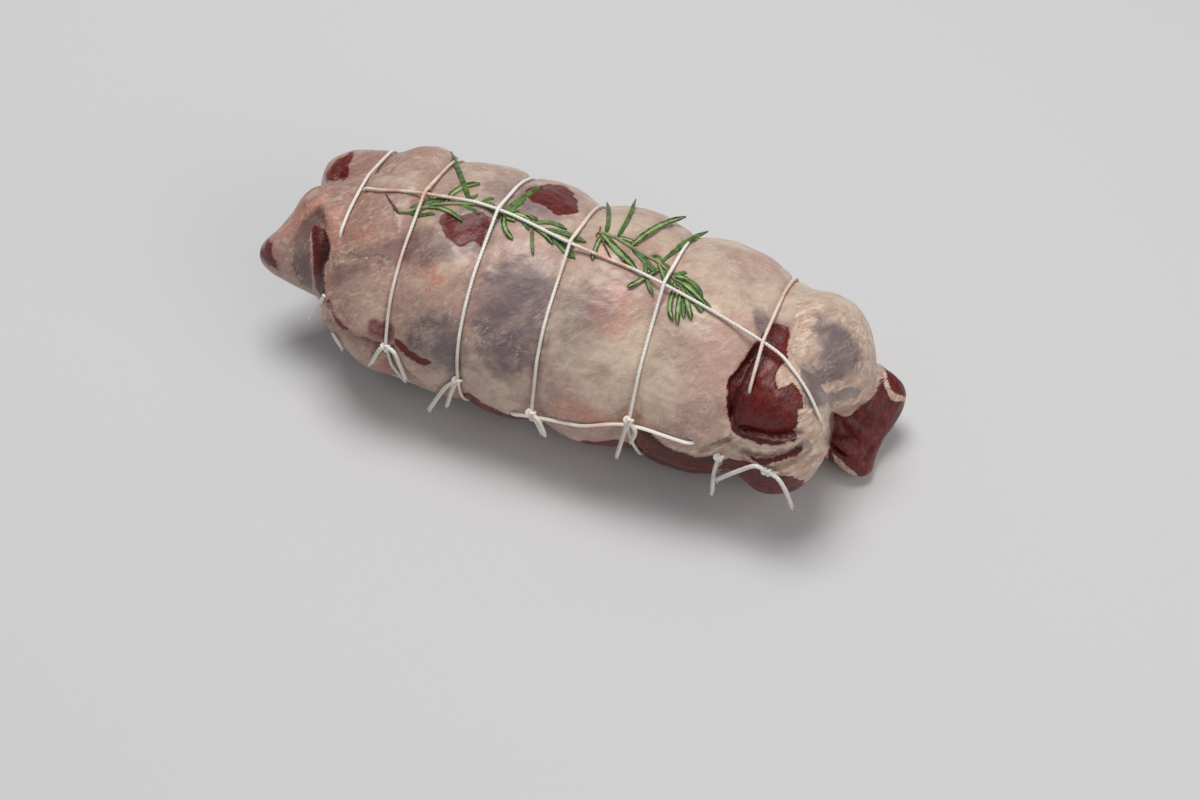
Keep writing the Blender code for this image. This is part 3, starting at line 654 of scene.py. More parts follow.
co += roughened("wrinkles", slanted, 6.0, wrinkled, lambda noises: 0.5 - 2 * np.abs(noises))
co += roughened("grain", slanted, 1.0, plain)
co[:, 2] = np.maximum(co[:, 2], 0.0)
co = relaxed(co, edges, 1, 0.35)
putBack(meat.data, co)
meatTree = treeOf(meat)
say("meat finishes placed")


# Rosemary

leafShape = {
    "stations": 13, "rows": 8,
    "halfWidth": 1.22, "thickness": 0.32,
    "baseWidth": 0.35, "baseLength": 0.22,  # a leaf starts narrow, and is full after this share of its length
    "tipLoss": 0.72, "tipStart": 0.8, "tipLength": 0.2, "tipPower": 1.6,
    "camber": 0.55, "groove": 0.22, "grooveWidth": 0.28,
    "paleShare": 0.46, "paleEnd": 0.93,  # the share of the half width and the length that is pale underneath
    "lift": 0.55,  # how far a leaf's middle line stays off the meat
    "roll": 0.35,
}
# Leaves: base, middle and tip in the picture, tip's height over the meat, whether the pale side shows, width
leftLeaves = [
    ((408, 212), (427, 203), (450, 204), 1.8, 0, 1.15), ((409, 212.5), (421, 215.5), (435, 214), 1.0, 0, 1.0),
    ((426, 202), (436, 200), (447, 200), 1.0, 0, 0.9), ((431.5, 202), (431, 196), (428, 189), 6.0, 0, 0.75),
    ((426, 209), (445, 209.5), (462, 221), 1.2, 1, 0.85), ((445, 198), (460, 189), (480, 184), 2.0, 1, 1.15),
    ((475, 197), (461, 177), (450.5, 152), 18.5, 0, 1.1), ((455, 203), (467, 200), (478, 194), 2.4, 0, 0.9),
    ((456, 205), (467, 207), (479, 214), 1.0, 0, 0.9), ((475, 203), (485, 203), (495, 205), 1.2, 0, 0.8),
    ((502, 210), (522, 198.5), (542, 185.5), 3.0, 0, 1.1),
    ((506, 208), (516, 203), (526, 198.5), 1.6, 0, 0.9), ((510, 209.5), (517, 206), (524, 202), 1.0, 0, 0.8),
    ((503, 211.5), (512, 211), (520, 212), 1.0, 0, 0.9), ((498, 220), (505, 228), (513, 239), 1.2, 1, 1.1),
    ((501, 216), (508, 218), (515.5, 221), 1.2, 1, 1.0), ((508, 214), (521, 215), (532, 223), 1.8, 1, 1.15),
    ((519, 214), (529, 216), (538, 220), 1.6, 0, 1.0), ((532, 221), (549, 222), (567, 229), 1.8, 0, 1.0),
    ((520, 222), (525, 225), (529, 230), 1.0, 0, 0.8), ((528, 230), (532, 241), (533, 255), 1.2, 0, 0.7),
    ((530, 225), (542, 232), (553, 244), 1.4, 1, 1.05), ((541, 229), (563, 233), (586, 242), 2.0, 0, 1.05),
    ((545, 234), (560, 239), (574, 247), 1.6, 1, 1.0), ((551, 239), (561, 247), (571, 257.5), 1.2, 0, 1.0),
    ((553, 238), (565, 247), (575, 258), 1.6, 0, 1.05), ((536, 226), (546, 232), (556, 240), 1.0, 0, 0.9),
    ((480, 204), (487, 200), (494, 198), 1.4, 0, 0.8), ((488, 207), (493, 212), (500, 218), 1.0, 0, 0.8),
]
rightLeaves = [
    ((606, 231), (608.5, 218), (607, 202), 10.0, 0, 0.9), ((619, 237), (628, 219), (636, 199), 12.0, 0, 0.8),
    ((636, 244), (656, 227.5), (686, 217), 12.0, 1, 1.1), ((662, 262), (684, 243), (708, 231), 10.0, 0, 1.1),
    ((600, 233), (617, 250), (637, 270), 2.2, 1, 1.5), ((617, 238), (628, 240), (638, 245), 2.2, 1, 0.9),
    ((599, 239), (595.5, 249), (592, 260), 1.2, 1, 0.95), ((631, 247), (644, 259), (657, 273.5), 1.4, 0, 1.3),
    ((647, 255), (646, 276), (653.5, 295), 2.6, 0, 0.85), ((657, 274), (641, 280), (627, 287.5), 1.2, 1, 1.0),
    ((651, 256), (657, 257), (662, 261), 1.2, 0, 0.8), ((662, 262), (667, 266), (672, 271), 1.0, 0, 0.8),
    ((673, 273.5), (680, 273), (687, 273), 1.0, 0, 0.9), ((673, 276), (681, 277), (689, 280), 1.4, 1, 0.9),
    ((678, 276), (691, 281), (703, 297), 1.8, 0, 1.05), ((671, 281), (689, 288), (707, 306), 2.4, 1, 1.1),
    ((694, 293), (703, 300), (710, 309), 1.4, 0, 1.0), ((692, 297), (697, 304), (702, 312), 1.2, 0, 1.0),
    ((667, 289), (670, 304), (673, 320), 1.4, 1, 1.0), ((676, 291), (678, 307), (677, 323.5), 1.8, 1, 1.05),
    ((681, 293), (683, 305), (683.5, 317.5), 1.2, 0, 0.9), ((685, 294), (688, 306), (691, 319), 1.4, 1, 1.05),
    ((658, 265), (662, 273), (666, 283), 1.4, 1, 1.0), ((672, 283), (675, 286), (679, 288), 1.0, 1, 0.8),
    ((665, 270), (668, 280), (673, 289), 1.0, 0, 1.0), ((682, 285), (690, 292), (697, 300), 1.0, 0, 1.0),
]
sprigs = {
    "rosemary_1": {
        "node": "rosemary_sprig_1", "leaves": leftLeaves,
        "stem": [(398, 211), (407, 211), (426, 207), (442, 204), (456, 203.5), (472, 204), (486, 206),
                (497, 211), (510, 216), (521, 220), (532, 226), (546, 234)],
        "twigs": [[(398, 211), (394, 206), (389, 199), (386, 194)],
                  [(399, 212), (396, 208), (393, 209)]],
    },
    "rosemary_2": {
        "node": "rosemary_sprig_2", "leaves": rightLeaves,
        "stem": [(600, 233), (613, 236.5), (628, 245), (643, 254), (656, 261), (667, 270), (675, 280),
                (682, 287)],
        "twigs": [[(601, 234), (600, 230), (600.5, 226.5)],
                  [(600, 233), (597.5, 233), (596, 237)],
                  [(601, 237), (606, 248), (611, 258)]],
    },
}
stemShape = {"lift": 1.2, "radius": 0.95, "taper": 0.5, "knobs": 0.16, "twigLift": 1.6, "twigRadius": 0.62}
liftedLeaf = 5.0  # a leaf that rises more than this stands clear of the string


def makeLeafModel():
    deselectAll()
    bpy.ops.mesh.primitive_grid_add(x_subdivisions=leafShape["stations"], y_subdivisions=leafShape["rows"],
                                    size=1.0, location=(0.5, 0, 0))
    leaf = bpy.context.object
    bpy.ops.object.transform_apply(location=True)
    for vert in leaf.data.vertices:
        share, side = vert.co.x, vert.co.y * 2
        base = leafShape["baseWidth"] + (1 - leafShape["baseWidth"]) * eased(share / leafShape["baseLength"])
        tip = eased((share - leafShape["tipStart"]) / leafShape["tipLength"]) ** leafShape["tipPower"]
        dip = leafShape["groove"] * math.exp(-(side / leafShape["grooveWidth"]) ** 2)
        dip *= eased(share * 6) * eased((1 - share) * 6)
        vert.co.y = side * leafShape["halfWidth"] * base * (1 - leafShape["tipLoss"] * tip)
        vert.co.z = leafShape["camber"] * (0.35 - abs(side) ** 2.4) - dip
    for material in (leafTop, leafPale):
        leaf.data.materials.append(material)
    thick = leaf.modifiers.new("thick", "SOLIDIFY")
    thick.thickness = leafShape["thickness"]
    thick.offset = -1
    thick.material_offset = 1
    bpy.ops.object.modifier_apply(modifier="thick")
    paleWidth = leafShape["halfWidth"] * leafShape["paleShare"]
    for face in leaf.data.polygons:
        if abs(face.center.y) > paleWidth or face.center.x > leafShape["paleEnd"]:
            face.material_index = 0
    leaf.name = "leaf_model"
    return leaf


def tint(*screen):  # screen colour to Blender's
    return tuple((c / 255 / 12.92) if c <= 10 else ((c / 255 + 0.055) / 1.055) ** 2.4 for c in screen)


def newMaterial(name):
    material = bpy.data.materials.new(name)
    material.use_nodes = True
    tree = material.node_tree
    return material, tree, tree.nodes["Principled BSDF"]


def addNode(tree, kind, inputs=None, **settings):
    made = tree.nodes.new("ShaderNode" + kind)
    for key, value in settings.items():
        setattr(made, key, value)
    for key, value in (inputs or {}).items():
        if isinstance(value, bpy.types.NodeSocket):
            tree.links.new(value, made.inputs[key])
        else:
            made.inputs[key].default_value = value
    return made


def objectPlace(tree):
    return addNode(tree, "TexCoord").outputs["Object"]


def attributeOf(tree, name, output="Fac"):
    return addNode(tree, "Attribute", attribute_name=name).outputs[output]


def stretched(tree, vector, scale, turn=(0, 0, 0)):
    inputs = {"Vector": vector, "Scale": scale, "Rotation": [math.radians(a) for a in turn]}
    return addNode(tree, "Mapping", inputs, vector_type="TEXTURE" if any(turn) else "POINT").outputs[0]


def grainy(tree, vector, scale, detail=3.0, roughness=0.55, distortion=0.0):
    inputs = dict(zip(("Vector", "Scale", "Detail", "Roughness", "Distortion"),
                      (vector, scale, detail, roughness, distortion)))
    return addNode(tree, "TexNoise", inputs).outputs["Fac"]


def between(tree, value, low, high, least=0.0, most=1.0):
    inputs = {"Value": value, "From Min": low, "From Max": high, "To Min": least, "To Max": most}
    return addNode(tree, "MapRange", inputs, interpolation_type="SMOOTHSTEP").outputs["Result"]


def cloudy(tree, vector, scale, low, high, least=0.0, most=1.0, detail=3.0, roughness=0.55, distortion=0.0):
    return between(tree, grainy(tree, vector, scale, detail, roughness, distortion), low, high, least, most)


def calc(tree, operation, a, b=0.5):
    return addNode(tree, "Math", {0: a, 1: b}, operation=operation).outputs[0]


def product(tree, a, b):
    return calc(tree, "MULTIPLY", a, b)


def blended(tree, factor, a, b):
    a, b = (c if isinstance(c, bpy.types.NodeSocket) else (*c, 1) for c in (a, b))
    return addNode(tree, "Mix", {0: factor, 6: a, 7: b}, data_type="RGBA").outputs[2]


def lined(tree, vector, scale, distortion, width):  # thin lines where a noise crosses its middle
    noises = grainy(tree, vector, scale, 4, 0.62, distortion)
    return between(tree, calc(tree, "ABSOLUTE", calc(tree, "SUBTRACT", noises, 0.5), 0), width, 0.0)


def bumped(tree, height, distance, strength=1.0, under=None):
    inputs = {"Height": height, "Distance": distance * mm, "Strength": strength}
    if under:
        inputs["Normal"] = under
    return addNode(tree, "Bump", inputs).outputs[0]


def paintLeaf(name, dark, light, roughness):
    material, tree, shader = newMaterial(name)
    place = objectPlace(tree)
    mottle = cloudy(tree, place, 260, 0.35, 0.65)
    tree.links.new(blended(tree, mottle, dark, light), shader.inputs["Base Color"])
    shader.inputs["Roughness"].default_value = roughness
    tree.links.new(bumped(tree, grainy(tree, place, 1500), 0.12), shader.inputs["Normal"])
    return material


leafTop = paintLeaf("leaf_top", tint(54, 84, 30), tint(99, 130, 59), 0.38)
leafPale = paintLeaf("leaf_pale", tint(134, 156, 98), tint(170, 186, 132), 0.6)
stemGreen = paintLeaf("stem_green", tint(126, 134, 92), tint(160, 160, 122), 0.7)
bark = paintLeaf("bark", tint(84, 54, 36), tint(132, 96, 68), 0.8)


def overMeat(place, rise):  # a place in the picture, held over the meat
    hit = nearEdge(meatTree, *place)
    point = hit[0] + hit[1] * rise
    way = pictureRay(*place)
    return eye + way * (point - eye).dot(way)


def leafSpine(base, middle, tip, rise, stem):
    start = Vector(min(stem, key=lambda point: (point - overMeat(base, stemShape["lift"])).length))
    end = overMeat(tip, rise)
    half = overMeat(middle, max(leafShape["lift"], 0.42 * rise + 0.5))
    bend = half * 2 - (start + end) / 2
    spine = []
    for k in range(9):
        t = k / 8
        point = start * (1 - t) ** 2 + bend * 2 * t * (1 - t) + end * t * t
        spine.append(pushedClear(point, meatTree, leafShape["lift"]) if k else point)
    return np.array(spine)


def layLeaf(model, spine, pale, width, roll):
    mesh = model.data.copy()
    co = np.empty(len(mesh.vertices) * 3, np.float32)
    mesh.vertices.foreach_get("co", co)
    co = co.reshape(-1, 3).astype(float)
    at = np.clip(co[:, 0], 0, 1) * (len(spine) - 1)
    i = np.minimum(at.astype(int), len(spine) - 2)
    f = (at - i)[:, None]
    forward = unit(np.gradient(spine, axis=0))
    point = spine[i] * (1 - f) + spine[i + 1] * f
    forward = unit(forward[i] * (1 - f) + forward[i + 1] * f)
    up = np.array(meatTree.find_nearest(Vector(spine[4]))[1]) * 0.6 + np.array(backWay) * 0.4
    sideways = unit(np.cross(up, forward))
    lifted = np.cross(forward, sideways)
    turn = roll + (math.pi if pale else 0)
    sideways, lifted = (sideways * math.cos(turn) + lifted * math.sin(turn),
                        lifted * math.cos(turn) - sideways * math.sin(turn))
    co = point + sideways * (co[:, 1:2] * width) + lifted * co[:, 2:3]
    putBack(mesh, co)
    return placed("leaf", mesh)


def drawnTube(name, lines, radii, material, closed=False, profile=None, turns=0.0, sidesLevel=2):
    curve = bpy.data.curves.new(name, "CURVE")
    curve.dimensions = "3D"
    curve.use_fill_caps = True
    if profile:
        curve.bevel_mode = "OBJECT"
        curve.bevel_object = profile
    else:
        curve.bevel_depth = mm
        curve.bevel_resolution = sidesLevel
    for line, radius in zip(lines, radii):
        spline = curve.splines.new("POLY")
        spline.points.add(len(line) - 1)
        for k, (target, point) in enumerate(zip(spline.points, line)):
            target.co = (*(Vector(point) * mm), 1)
            target.radius = radius[k] if hasattr(radius, "__len__") else radius
            target.tilt = 2 * math.pi * turns * k / len(line)
        spline.use_cyclic_u = closed
    pick(placed(name, curve))
    bpy.ops.object.convert(target="MESH")
    drawn = bpy.context.object
    cleaned(drawn, 1e-6, bpy.ops.mesh.normals_make_consistent)
    drawn.data.materials.clear()
    drawn.data.materials.append(material)
    return drawn


def joinedAs(name, pieces):
    pick(*pieces)
    bpy.ops.object.join()
    made = bpy.context.object
    made.name = made.data.name = name
    made.data.shade_smooth()
    return made


def makeSprig(name, sprig, model, rng):
    places = smoothThrough(sprig["stem"], 46)
    stem = [overMeat(place, stemShape["lift"]) for place in places]
    count = len(stem)
    full, taper, knobs = (stemShape[key] for key in ("radius", "taper", "knobs"))
    radii = [(full - taper * k / count) * (1 + knobs * math.sin(k * 1.9)) for k in range(count)]
    pieces = [drawnTube("stem", [stem], [radii], stemGreen)]
    for twig in sprig["twigs"]:
        line = [overMeat(place, stemShape["twigLift"]) for place in smoothThrough(twig, 9)]
        radii = [stemShape["twigRadius"] - 0.04 * k for k in range(9)]
        pieces.append(drawnTube("twig", [line], [radii], bark))
    low, high = [], []
    for base, middle, tip, rise, pale, width in sprig["leaves"]:
        spine = leafSpine(base, middle, tip, rise, stem)
        leaf = layLeaf(model, spine, pale, width, rng.uniform(-leafShape["roll"], leafShape["roll"]))
        (high if rise > liftedLeaf else low).append(leaf)
    return pieces + low, high


rng = random.Random(5)
model = makeLeafModel()
sprigParts = {name: makeSprig(name, sprig, model, rng) for name, sprig in sprigs.items()}
bpy.data.objects.remove(model)
say("rosemary laid")


# String

twine = {
    "radius": 0.83, "endRadius": 1.08,
    "sunk": 0.28, "tuck": 6.0,  # how deep it lies in the meat, in the open and tucked under a fold
    "plies": 3, "plyDepth": 0.20, "pitch": 5.2, "step": 0.55,
    "loopSamples": 200, "longSamples": 420, "pullRounds": 500, "lean": -3.0,
    "probe": 0.6, "reach": 160, "sinkRounds": 5, "endLift": 1.2,
}
knotShape = {"samples": 54, "across": 0.68, "up": 0.63, "out": 0.8, "radius": 0.76, "standOff": 0.7}
# Place along the roll, middle's height, knot in the picture, and the ends hanging from it. Where the string
# is hidden behind a fold, "tucked" gives picture boxes and "loose" the height of the knot over the meat.
ties = [
    {"at": -110.2, "middle": 51.5, "knot": (328, 297), "loose": -5.0, "tucked": [(300, 238, 352, 372)],
     "ends": [[(325, 295), (319, 304), (311, 316)], [(333, 333), (339, 337), (344, 343)]]},
    {"at": -76.3, "middle": 51.3, "knot": (387, 346),
     "ends": [[(379, 350), (371, 363)], [(396, 353), (405, 378)]]},
    {"at": -39.5, "middle": 52.2, "knot": (456, 380),
     "ends": [[(445, 388), (430, 408)], [(452, 390), (447, 405)]]},
    {"at": -1.6, "middle": 50.8, "knot": (537, 413),
     "ends": [[(536, 421), (541, 431)], [(538, 420), (544, 433)]]},
    {"at": 45.7, "middle": 49.9, "knot": (636, 422),
     "ends": [[(625, 430), (617, 455)], [(635, 431), (632, 440)]]},
    {"at": 96.0, "middle": 49.4, "knot": (719, 456), "loose": 0.2, "tucked": [(700, 396, 762, 505)],
     "ends": [[(718, 459), (714, 472), (712, 491)]]},
]
longRoute = [
    (-101.9, 0.4, 98), (-73.9, 2.4, 100), (-37.9, 3.4, 102), (1.1, -2.6, 102), (48.1, -7.6, 100),
    (98.1, -17.6, 94), (114.1, -23.6, 88), (126.1, -28.6, 74), (134.1, -32.6, 56), (130.1, -42.6, 44),
    (115.1, -54.6, 48), (94.1, -56.6, 53), (72.1, -56.6, 55), (48.1, -56.6, 56), (26.1, -56.6, 48),
    (3.1, -56.6, 42), (-11.9, -54.6, 36), (-27.9, -45.6, 22), (-53.9, -37.6, 15), (-85.9, -31.6, 15),
    (-111.9, -18.6, 21), (-129.9, -2.6, 34), (-141.9, 10.4, 50), (-135.9, 10.4, 70), (-121.9, 6.4, 88),
]
rollMiddle = {"left": -98.9, "right": 106.1, "y": 1.4, "z": 46.0}  # the line they are drawn towards
longKnot = {
    "knot": (768, 467),
    "ends": [[(755, 466), (738, 471), (718, 479)], [(777, 478), (785, 490), (791, 505)]],
    "tucked": [(694, 435, 756, 480), (780, 434, 845, 480), (800, 424, 845, 440), (325, 172, 361, 195),
               (300, 340, 508, 480)],
}
fray = {"strands": 18, "length": (1.2, 3.2), "spread": 0.30, "radius": 0.36, "bend": 0.25}
# Where meat juice has stained the string: a place in the picture, its reach in pixels, and how much
stains = [
    ((448, 176), 16, 0.9), ((434, 196), 12, 0.8), ((405, 256), 26, 0.6), ((395, 300), 24, 0.4),
    ((392, 186), 22, 0.9), ((425, 193), 18, 0.9), ((450, 203), 14, 0.7), ((598, 222), 20, 0.7),
    ((596, 256), 20, 0.9), ((622, 266), 16, 0.7), ((789, 298), 20, 0.9), ((776, 330), 18, 0.7),
    ((752, 375), 22, 0.6), ((537, 396), 16, 0.5), ((600, 420), 30, 0.5), ((640, 398), 18, 0.4),
    ((456, 366), 14, 0.4), ((672, 300), 18, 0.3), ((562, 268), 18, 0.3), ((358, 205), 12, 0.2),
]


def tautLine(tree, middles, ways, tucked):
    clearance = twine["radius"] - twine["sunk"]
    count = len(middles)
    middles, ways = np.array(middles), np.array(ways)
    floors = np.empty(count)
    for k in range(count):
        middle, way = Vector(middles[k]), Vector(ways[k])
        aside = way.cross(Vector(middles[(k + 1) % count] + ways[(k + 1) % count] * 50
                                 - middles[k - 1] - ways[k - 1] * 50)).normalized()
        reaches = []
        for shift in (-twine["probe"], 0.0, twine["probe"]):
            start = middle + aside * shift
            hit = tree.ray_cast(start + way * twine["reach"], -way, twine["reach"])[0]
            reaches.append((hit - start).length if hit else 0.0)
        floors[k] = max(reaches) + clearance
    places, _ = inPicture(middles + ways * floors[:, None])
    seen = (ways @ np.array(backWay)) > 0
    under = np.zeros(count, bool)
    for left, top, right, bottom in tucked:
        under |= seen & ((places > (left, top)) & (places < (right, bottom))).all(1)
    sink = under.astype(float)
    for _ in range(twine["sinkRounds"]):
        sink = (np.roll(sink, 1) + sink * 2 + np.roll(sink, -1)) / 4
    bare = floors.copy()
    for _ in range(3):
        reaches = floors.copy()
        for _ in range(twine["pullRounds"]):
            points = middles + ways * reaches[:, None]
            halfway = (np.roll(points, 1, 0) + np.roll(points, -1, 0)) / 2
            reaches = np.maximum(floors, ((halfway - middles) * ways).sum(1))
        points = middles + ways * reaches[:, None]
        lacks = np.array([max(0.0, clearance - tree.find_nearest(Vector(point))[3]) for point in points])
        lacks[sink > 0.01] = 0
        if lacks.max() < 0.02:
            break
        floors = np.where(lacks > 0, reaches + lacks, floors)
    reaches = reaches * (1 - sink) + np.minimum(reaches, bare - twine["tuck"]) * sink
    return middles + ways * reaches[:, None]


def evenlySpaced(points, step, closed):
    line = np.vstack((points, points[:1])) if closed else np.asarray(points)
    gaps = np.linalg.norm(np.diff(line, axis=0), axis=1)
    along = np.concatenate(([0], np.cumsum(gaps)))
    count = max(3, round(along[-1] / step))
    at = np.linspace(0, along[-1], count, endpoint=not closed)
    return np.stack([np.interp(at, along, line[:, i]) for i in range(3)], 1), along[-1]


def plyProfile():
    curve = bpy.data.curves.new("ply_profile", "CURVE")
    spline = curve.splines.new("POLY")
    count = twine["plies"] * 4
    spline.points.add(count - 1)
    for k, point in enumerate(spline.points):
        turn = 2 * math.pi * k / count
        reach = 1 - twine["plyDepth"] * (1 if k % 4 == 0 else 0.0)
        point.co = (math.cos(turn) * reach * mm, math.sin(turn) * reach * mm, 0, 1)
    spline.use_cyclic_u = True
    return placed("ply_profile", curve)


def twisted(name, points, closed, radius=twine["radius"]):
    line, length = evenlySpaced(points, twine["step"], closed)
    turns = round(length / twine["pitch"] * twine["plies"]) / twine["plies"]
    radii = [radius * (1 + 0.05 * noise.noise(Vector(point) / 3.0)) for point in line]
    return drawnTube(name, [line], [radii], cotton, closed, profile, turns)


def paintCotton():
    material, tree, shader = newMaterial("cotton")
    place = objectPlace(tree)
    clean = blended(tree, grainy(tree, place, 900), tint(236, 231, 222), tint(253, 251, 246))
    stained = product(tree, attributeOf(tree, "stain"), cloudy(tree, place, 260, 0.30, 0.60, 0.45))
    tree.links.new(blended(tree, stained, clean, tint(222, 166, 138)), shader.inputs["Base Color"])
    shader.inputs["Roughness"].default_value = 0.75
    tree.links.new(bumped(tree, grainy(tree, place, 2600, 4), 0.12), shader.inputs["Normal"])
    return material


def knotLine(centre, sideways, outward):
    upward = np.cross(outward, sideways)
    line = []
    for k in range(knotShape["samples"]):
        t = 2 * math.pi * k / knotShape["samples"]
        line.append(centre + sideways * knotShape["across"] * (math.sin(t) + 2 * math.sin(2 * t))
                    + upward * knotShape["up"] * (math.cos(t) - 2 * math.cos(2 * t))
                    - outward * knotShape["out"] * math.sin(3 * t))
    return np.array(line)


def hangingPlace(place, knot, standOff):  # a place in the picture, on an upright plane in front of the knot
    way = pictureRay(*place)
    plane = knot[1] - standOff
    return eye + way * ((plane - eye.y) / way.y)


def makeEnds(ends, knot, loose, tree, rng):
    pieces = []
    lift = twine["endLift"]
    for end in ends:
        knot = overMeat(end[0], 0.4) if loose else Vector(knot)
        route = [knot] + [hangingPlace(place, knot, lift) for place in end[1 if loose else 0:]]
        route = [pushedClear(point, tree, lift) if k else point for k, point in enumerate(route)]
        line = smoothThrough([tuple(point) for point in route], 24)
        pieces.append(twisted("end", line, False, twine["endRadius"]))
        way = Vector(unit(line[-1] - line[-4]))
        strands = []
        for _ in range(fray["strands"]):
            aside = Vector([rng.uniform(-1, 1) for _ in range(3)]) * fray["spread"]
            reach = rng.uniform(*fray["length"])
            start = Vector(line[-2]) + aside * 0.9
            bend = Vector([rng.uniform(-1, 1) for _ in range(3)]) * fray["bend"]
            strands.append([start + (way + aside * t) * reach * t + bend * math.sin(t * 3) * t
                            for t in (0, 0.25, 0.5, 0.75, 1.0)])
        strands = [[pushedClear(point, tree, 0.3) for point in strand] for strand in strands]
        thin = [[fray["radius"] * s for s in (1.3, 1.1, 0.9, 0.7, 0.4)]] * len(strands)
        pieces.append(drawnTube("fray", strands, thin, cotton, sidesLevel=0))
    return pieces


def addStains(piece, finder):
    co = numbersOf(piece.data)
    places, _ = inPicture(co)
    seen = normalsOf(meat.data)[[finder.find(Vector(point))[1] for point in co]] @ np.array(backWay) > 0
    stain = 0.25 * eased(noiseAt(co, 24.0, 4.0) * 2)
    for place, reach, strength in stains:
        far = ((places - np.array(place)) ** 2).sum(1)
        stain = np.maximum(stain, strength * np.exp(-far / reach ** 2) * seen)
    keepValues(piece.data, "stain", stain)


def nearestInPicture(line, place):
    places, deep = inPicture(line)
    return int((np.linalg.norm(places - np.array(place), axis=1) + deep * 0.05).argmin())


cotton = paintCotton()
profile = plyProfile()
sprigMeshes = [piece for low, _ in sprigParts.values() for piece in low]
tree = treeOf(meat, *sprigMeshes)
route = smoothThrough(longRoute, twine["longSamples"], True)
middles = np.array([(min(max(x, rollMiddle["left"]), rollMiddle["right"]), rollMiddle["y"], rollMiddle["z"])
                    for x in route[:, 0]])
longLine = tautLine(tree, middles, unit(route - middles), longKnot["tucked"])
strings = {"string_long": (longLine, twisted("string_long", longLine, True), longKnot)}
tree = treeOf(meat, *sprigMeshes, strings["string_long"][1])
turns = np.arange(twine["loopSamples"]) / twine["loopSamples"] * 2 * math.pi
ways = np.stack((-math.tan(math.radians(twine["lean"])) * np.sin(turns), -np.sin(turns), np.cos(turns)), 1)
for number, tie in enumerate(ties):
    middle = np.array((tie["at"], rollMiddle["y"], tie["middle"]))
    line = tautLine(tree, np.repeat(middle[None], len(turns), 0), unit(ways), tie.get("tucked", ()))
    name = f"string_loop_{number + 1}"
    strings[name] = (line, twisted(name, line, True), tie)
lengths = [f"{name} {evenlySpaced(line, 1.0, True)[1]:.0f}" for name, (line, _, _) in strings.items()]
say("strings drawn, round each in mm: " + ", ".join(lengths))

finder = finderOf(co.tolist())
for name, (line, tube, facts) in strings.items():
    k = nearestInPicture(line, facts["knot"])
    place = overMeat(facts["knot"], facts["loose"]) if "loose" in facts else line[k]
    outward = unit(np.array(smoothTree.find_nearest(Vector(place))[1]))
    forward = unit(line[(k + 1) % len(line)] - line[k - 1])
    centre = np.array(place) + outward * knotShape["standOff"]
    knotLoops = knotLine(centre, unit(np.cross(outward, forward)), outward)
    knotPiece = drawnTube("knot", [knotLoops], [knotShape["radius"]], cotton, True)
    pieces = [tube, knotPiece] + makeEnds(facts["ends"], centre, "loose" in facts, meatTree, rng)
    piece = joinedAs("twine_" + name.replace("string_", ""), pieces)
    addStains(piece, finder)
    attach(piece, "root")
    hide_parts(name)
bpy.data.objects.remove(profile)
say("knots tied")

for name, (low, high) in sprigParts.items():
    sprig = joinedAs(name, low + high)
    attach(sprig, "root")
    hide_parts(sprigs[name]["node"])


# Meat: dents under the string, then its finish

dent = {
    "depth": 0.7, "width": 2.0, "bulge": 0.35, "bulgeAt": 4.6, "bulgeWidth": 2.2,
    "offAt": 2.4, "fullOver": 1.4,  # how far off a string stops pressing, and over what distance it does
}


def pressStrings(co, facing):
    samples = np.vstack([evenlySpaced(line, 1.0, True)[0] for line, _, _ in strings.values()])
    touching = np.array([meatTree.find_nearest(Vector(point))[3] for point in samples])
    weight = eased((dent["offAt"] - touching) / dent["fullOver"])
    finder = finderOf(samples)
    far, held = np.empty(len(co)), np.empty(len(co))
    for k, point in enumerate(co.tolist()):
        _, index, distance = finder.find(point)
        far[k], held[k] = distance, weight[index]
    drop = dent["depth"] * np.exp(-(far / dent["width"]) ** 2)
    rise = dent["bulge"] * np.exp(-((far - dent["bulgeAt"]) / dent["bulgeWidth"]) ** 2)
    return co + facing * ((rise - drop) * held)[:, None]


co = pressStrings(co, normalsOf(meat.data))
co[:, 2] = np.maximum(co[:, 2], 0.0)
putBack(meat.data, co)
# dark is stored as the painted-shade mask for clefts, creases and under lips
for name, values in finishes.items():
    keepValues(meat.data, name, values)
meat.data.attributes.new("strand", "FLOAT_VECTOR", "POINT").data.foreach_set(
    "vector", (strand * mm).astype(np.float32).ravel())
meat.data.shade_smooth()


lamb = {
    "colours": {  # on the screen
        "skin": (208, 186, 165), "rosySkin": (188, 152, 139), "veil": (150, 118, 108), "pink": (150, 106, 92),
        "flush": (200, 124, 98), "mottle": (222, 206, 188), "freckle": (150, 106, 96), "lilac": (104, 89, 95),
        "pinkLilac": (98, 66, 68), "thread": (226, 212, 200), "hair": (226, 208, 196),
        "cream": (226, 204, 185), "rosyCream": (196, 154, 134),
        "deepRed": (68, 6, 3), "lightRed": (128, 27, 16), "patchRed": (88, 12, 6),
        # the last colour here is painted shade, a near-black red for clefts, creases and under lips
        "marbling": (184, 116, 102), "rim": (166, 112, 106), "slitShade": (46, 10, 8),
    },
    "slant": (0, -15, 42),  # how the membrane's fibres are turned, in degrees
    "gloss": {
        "Subsurface Weight": 0.12, "Subsurface Radius": (1.0, 0.4, 0.25), "Subsurface Scale": 0.004,
        "Specular IOR Level": 0.36, "Coat Weight": 0.15, "Coat Roughness": 0.18,
    },
}


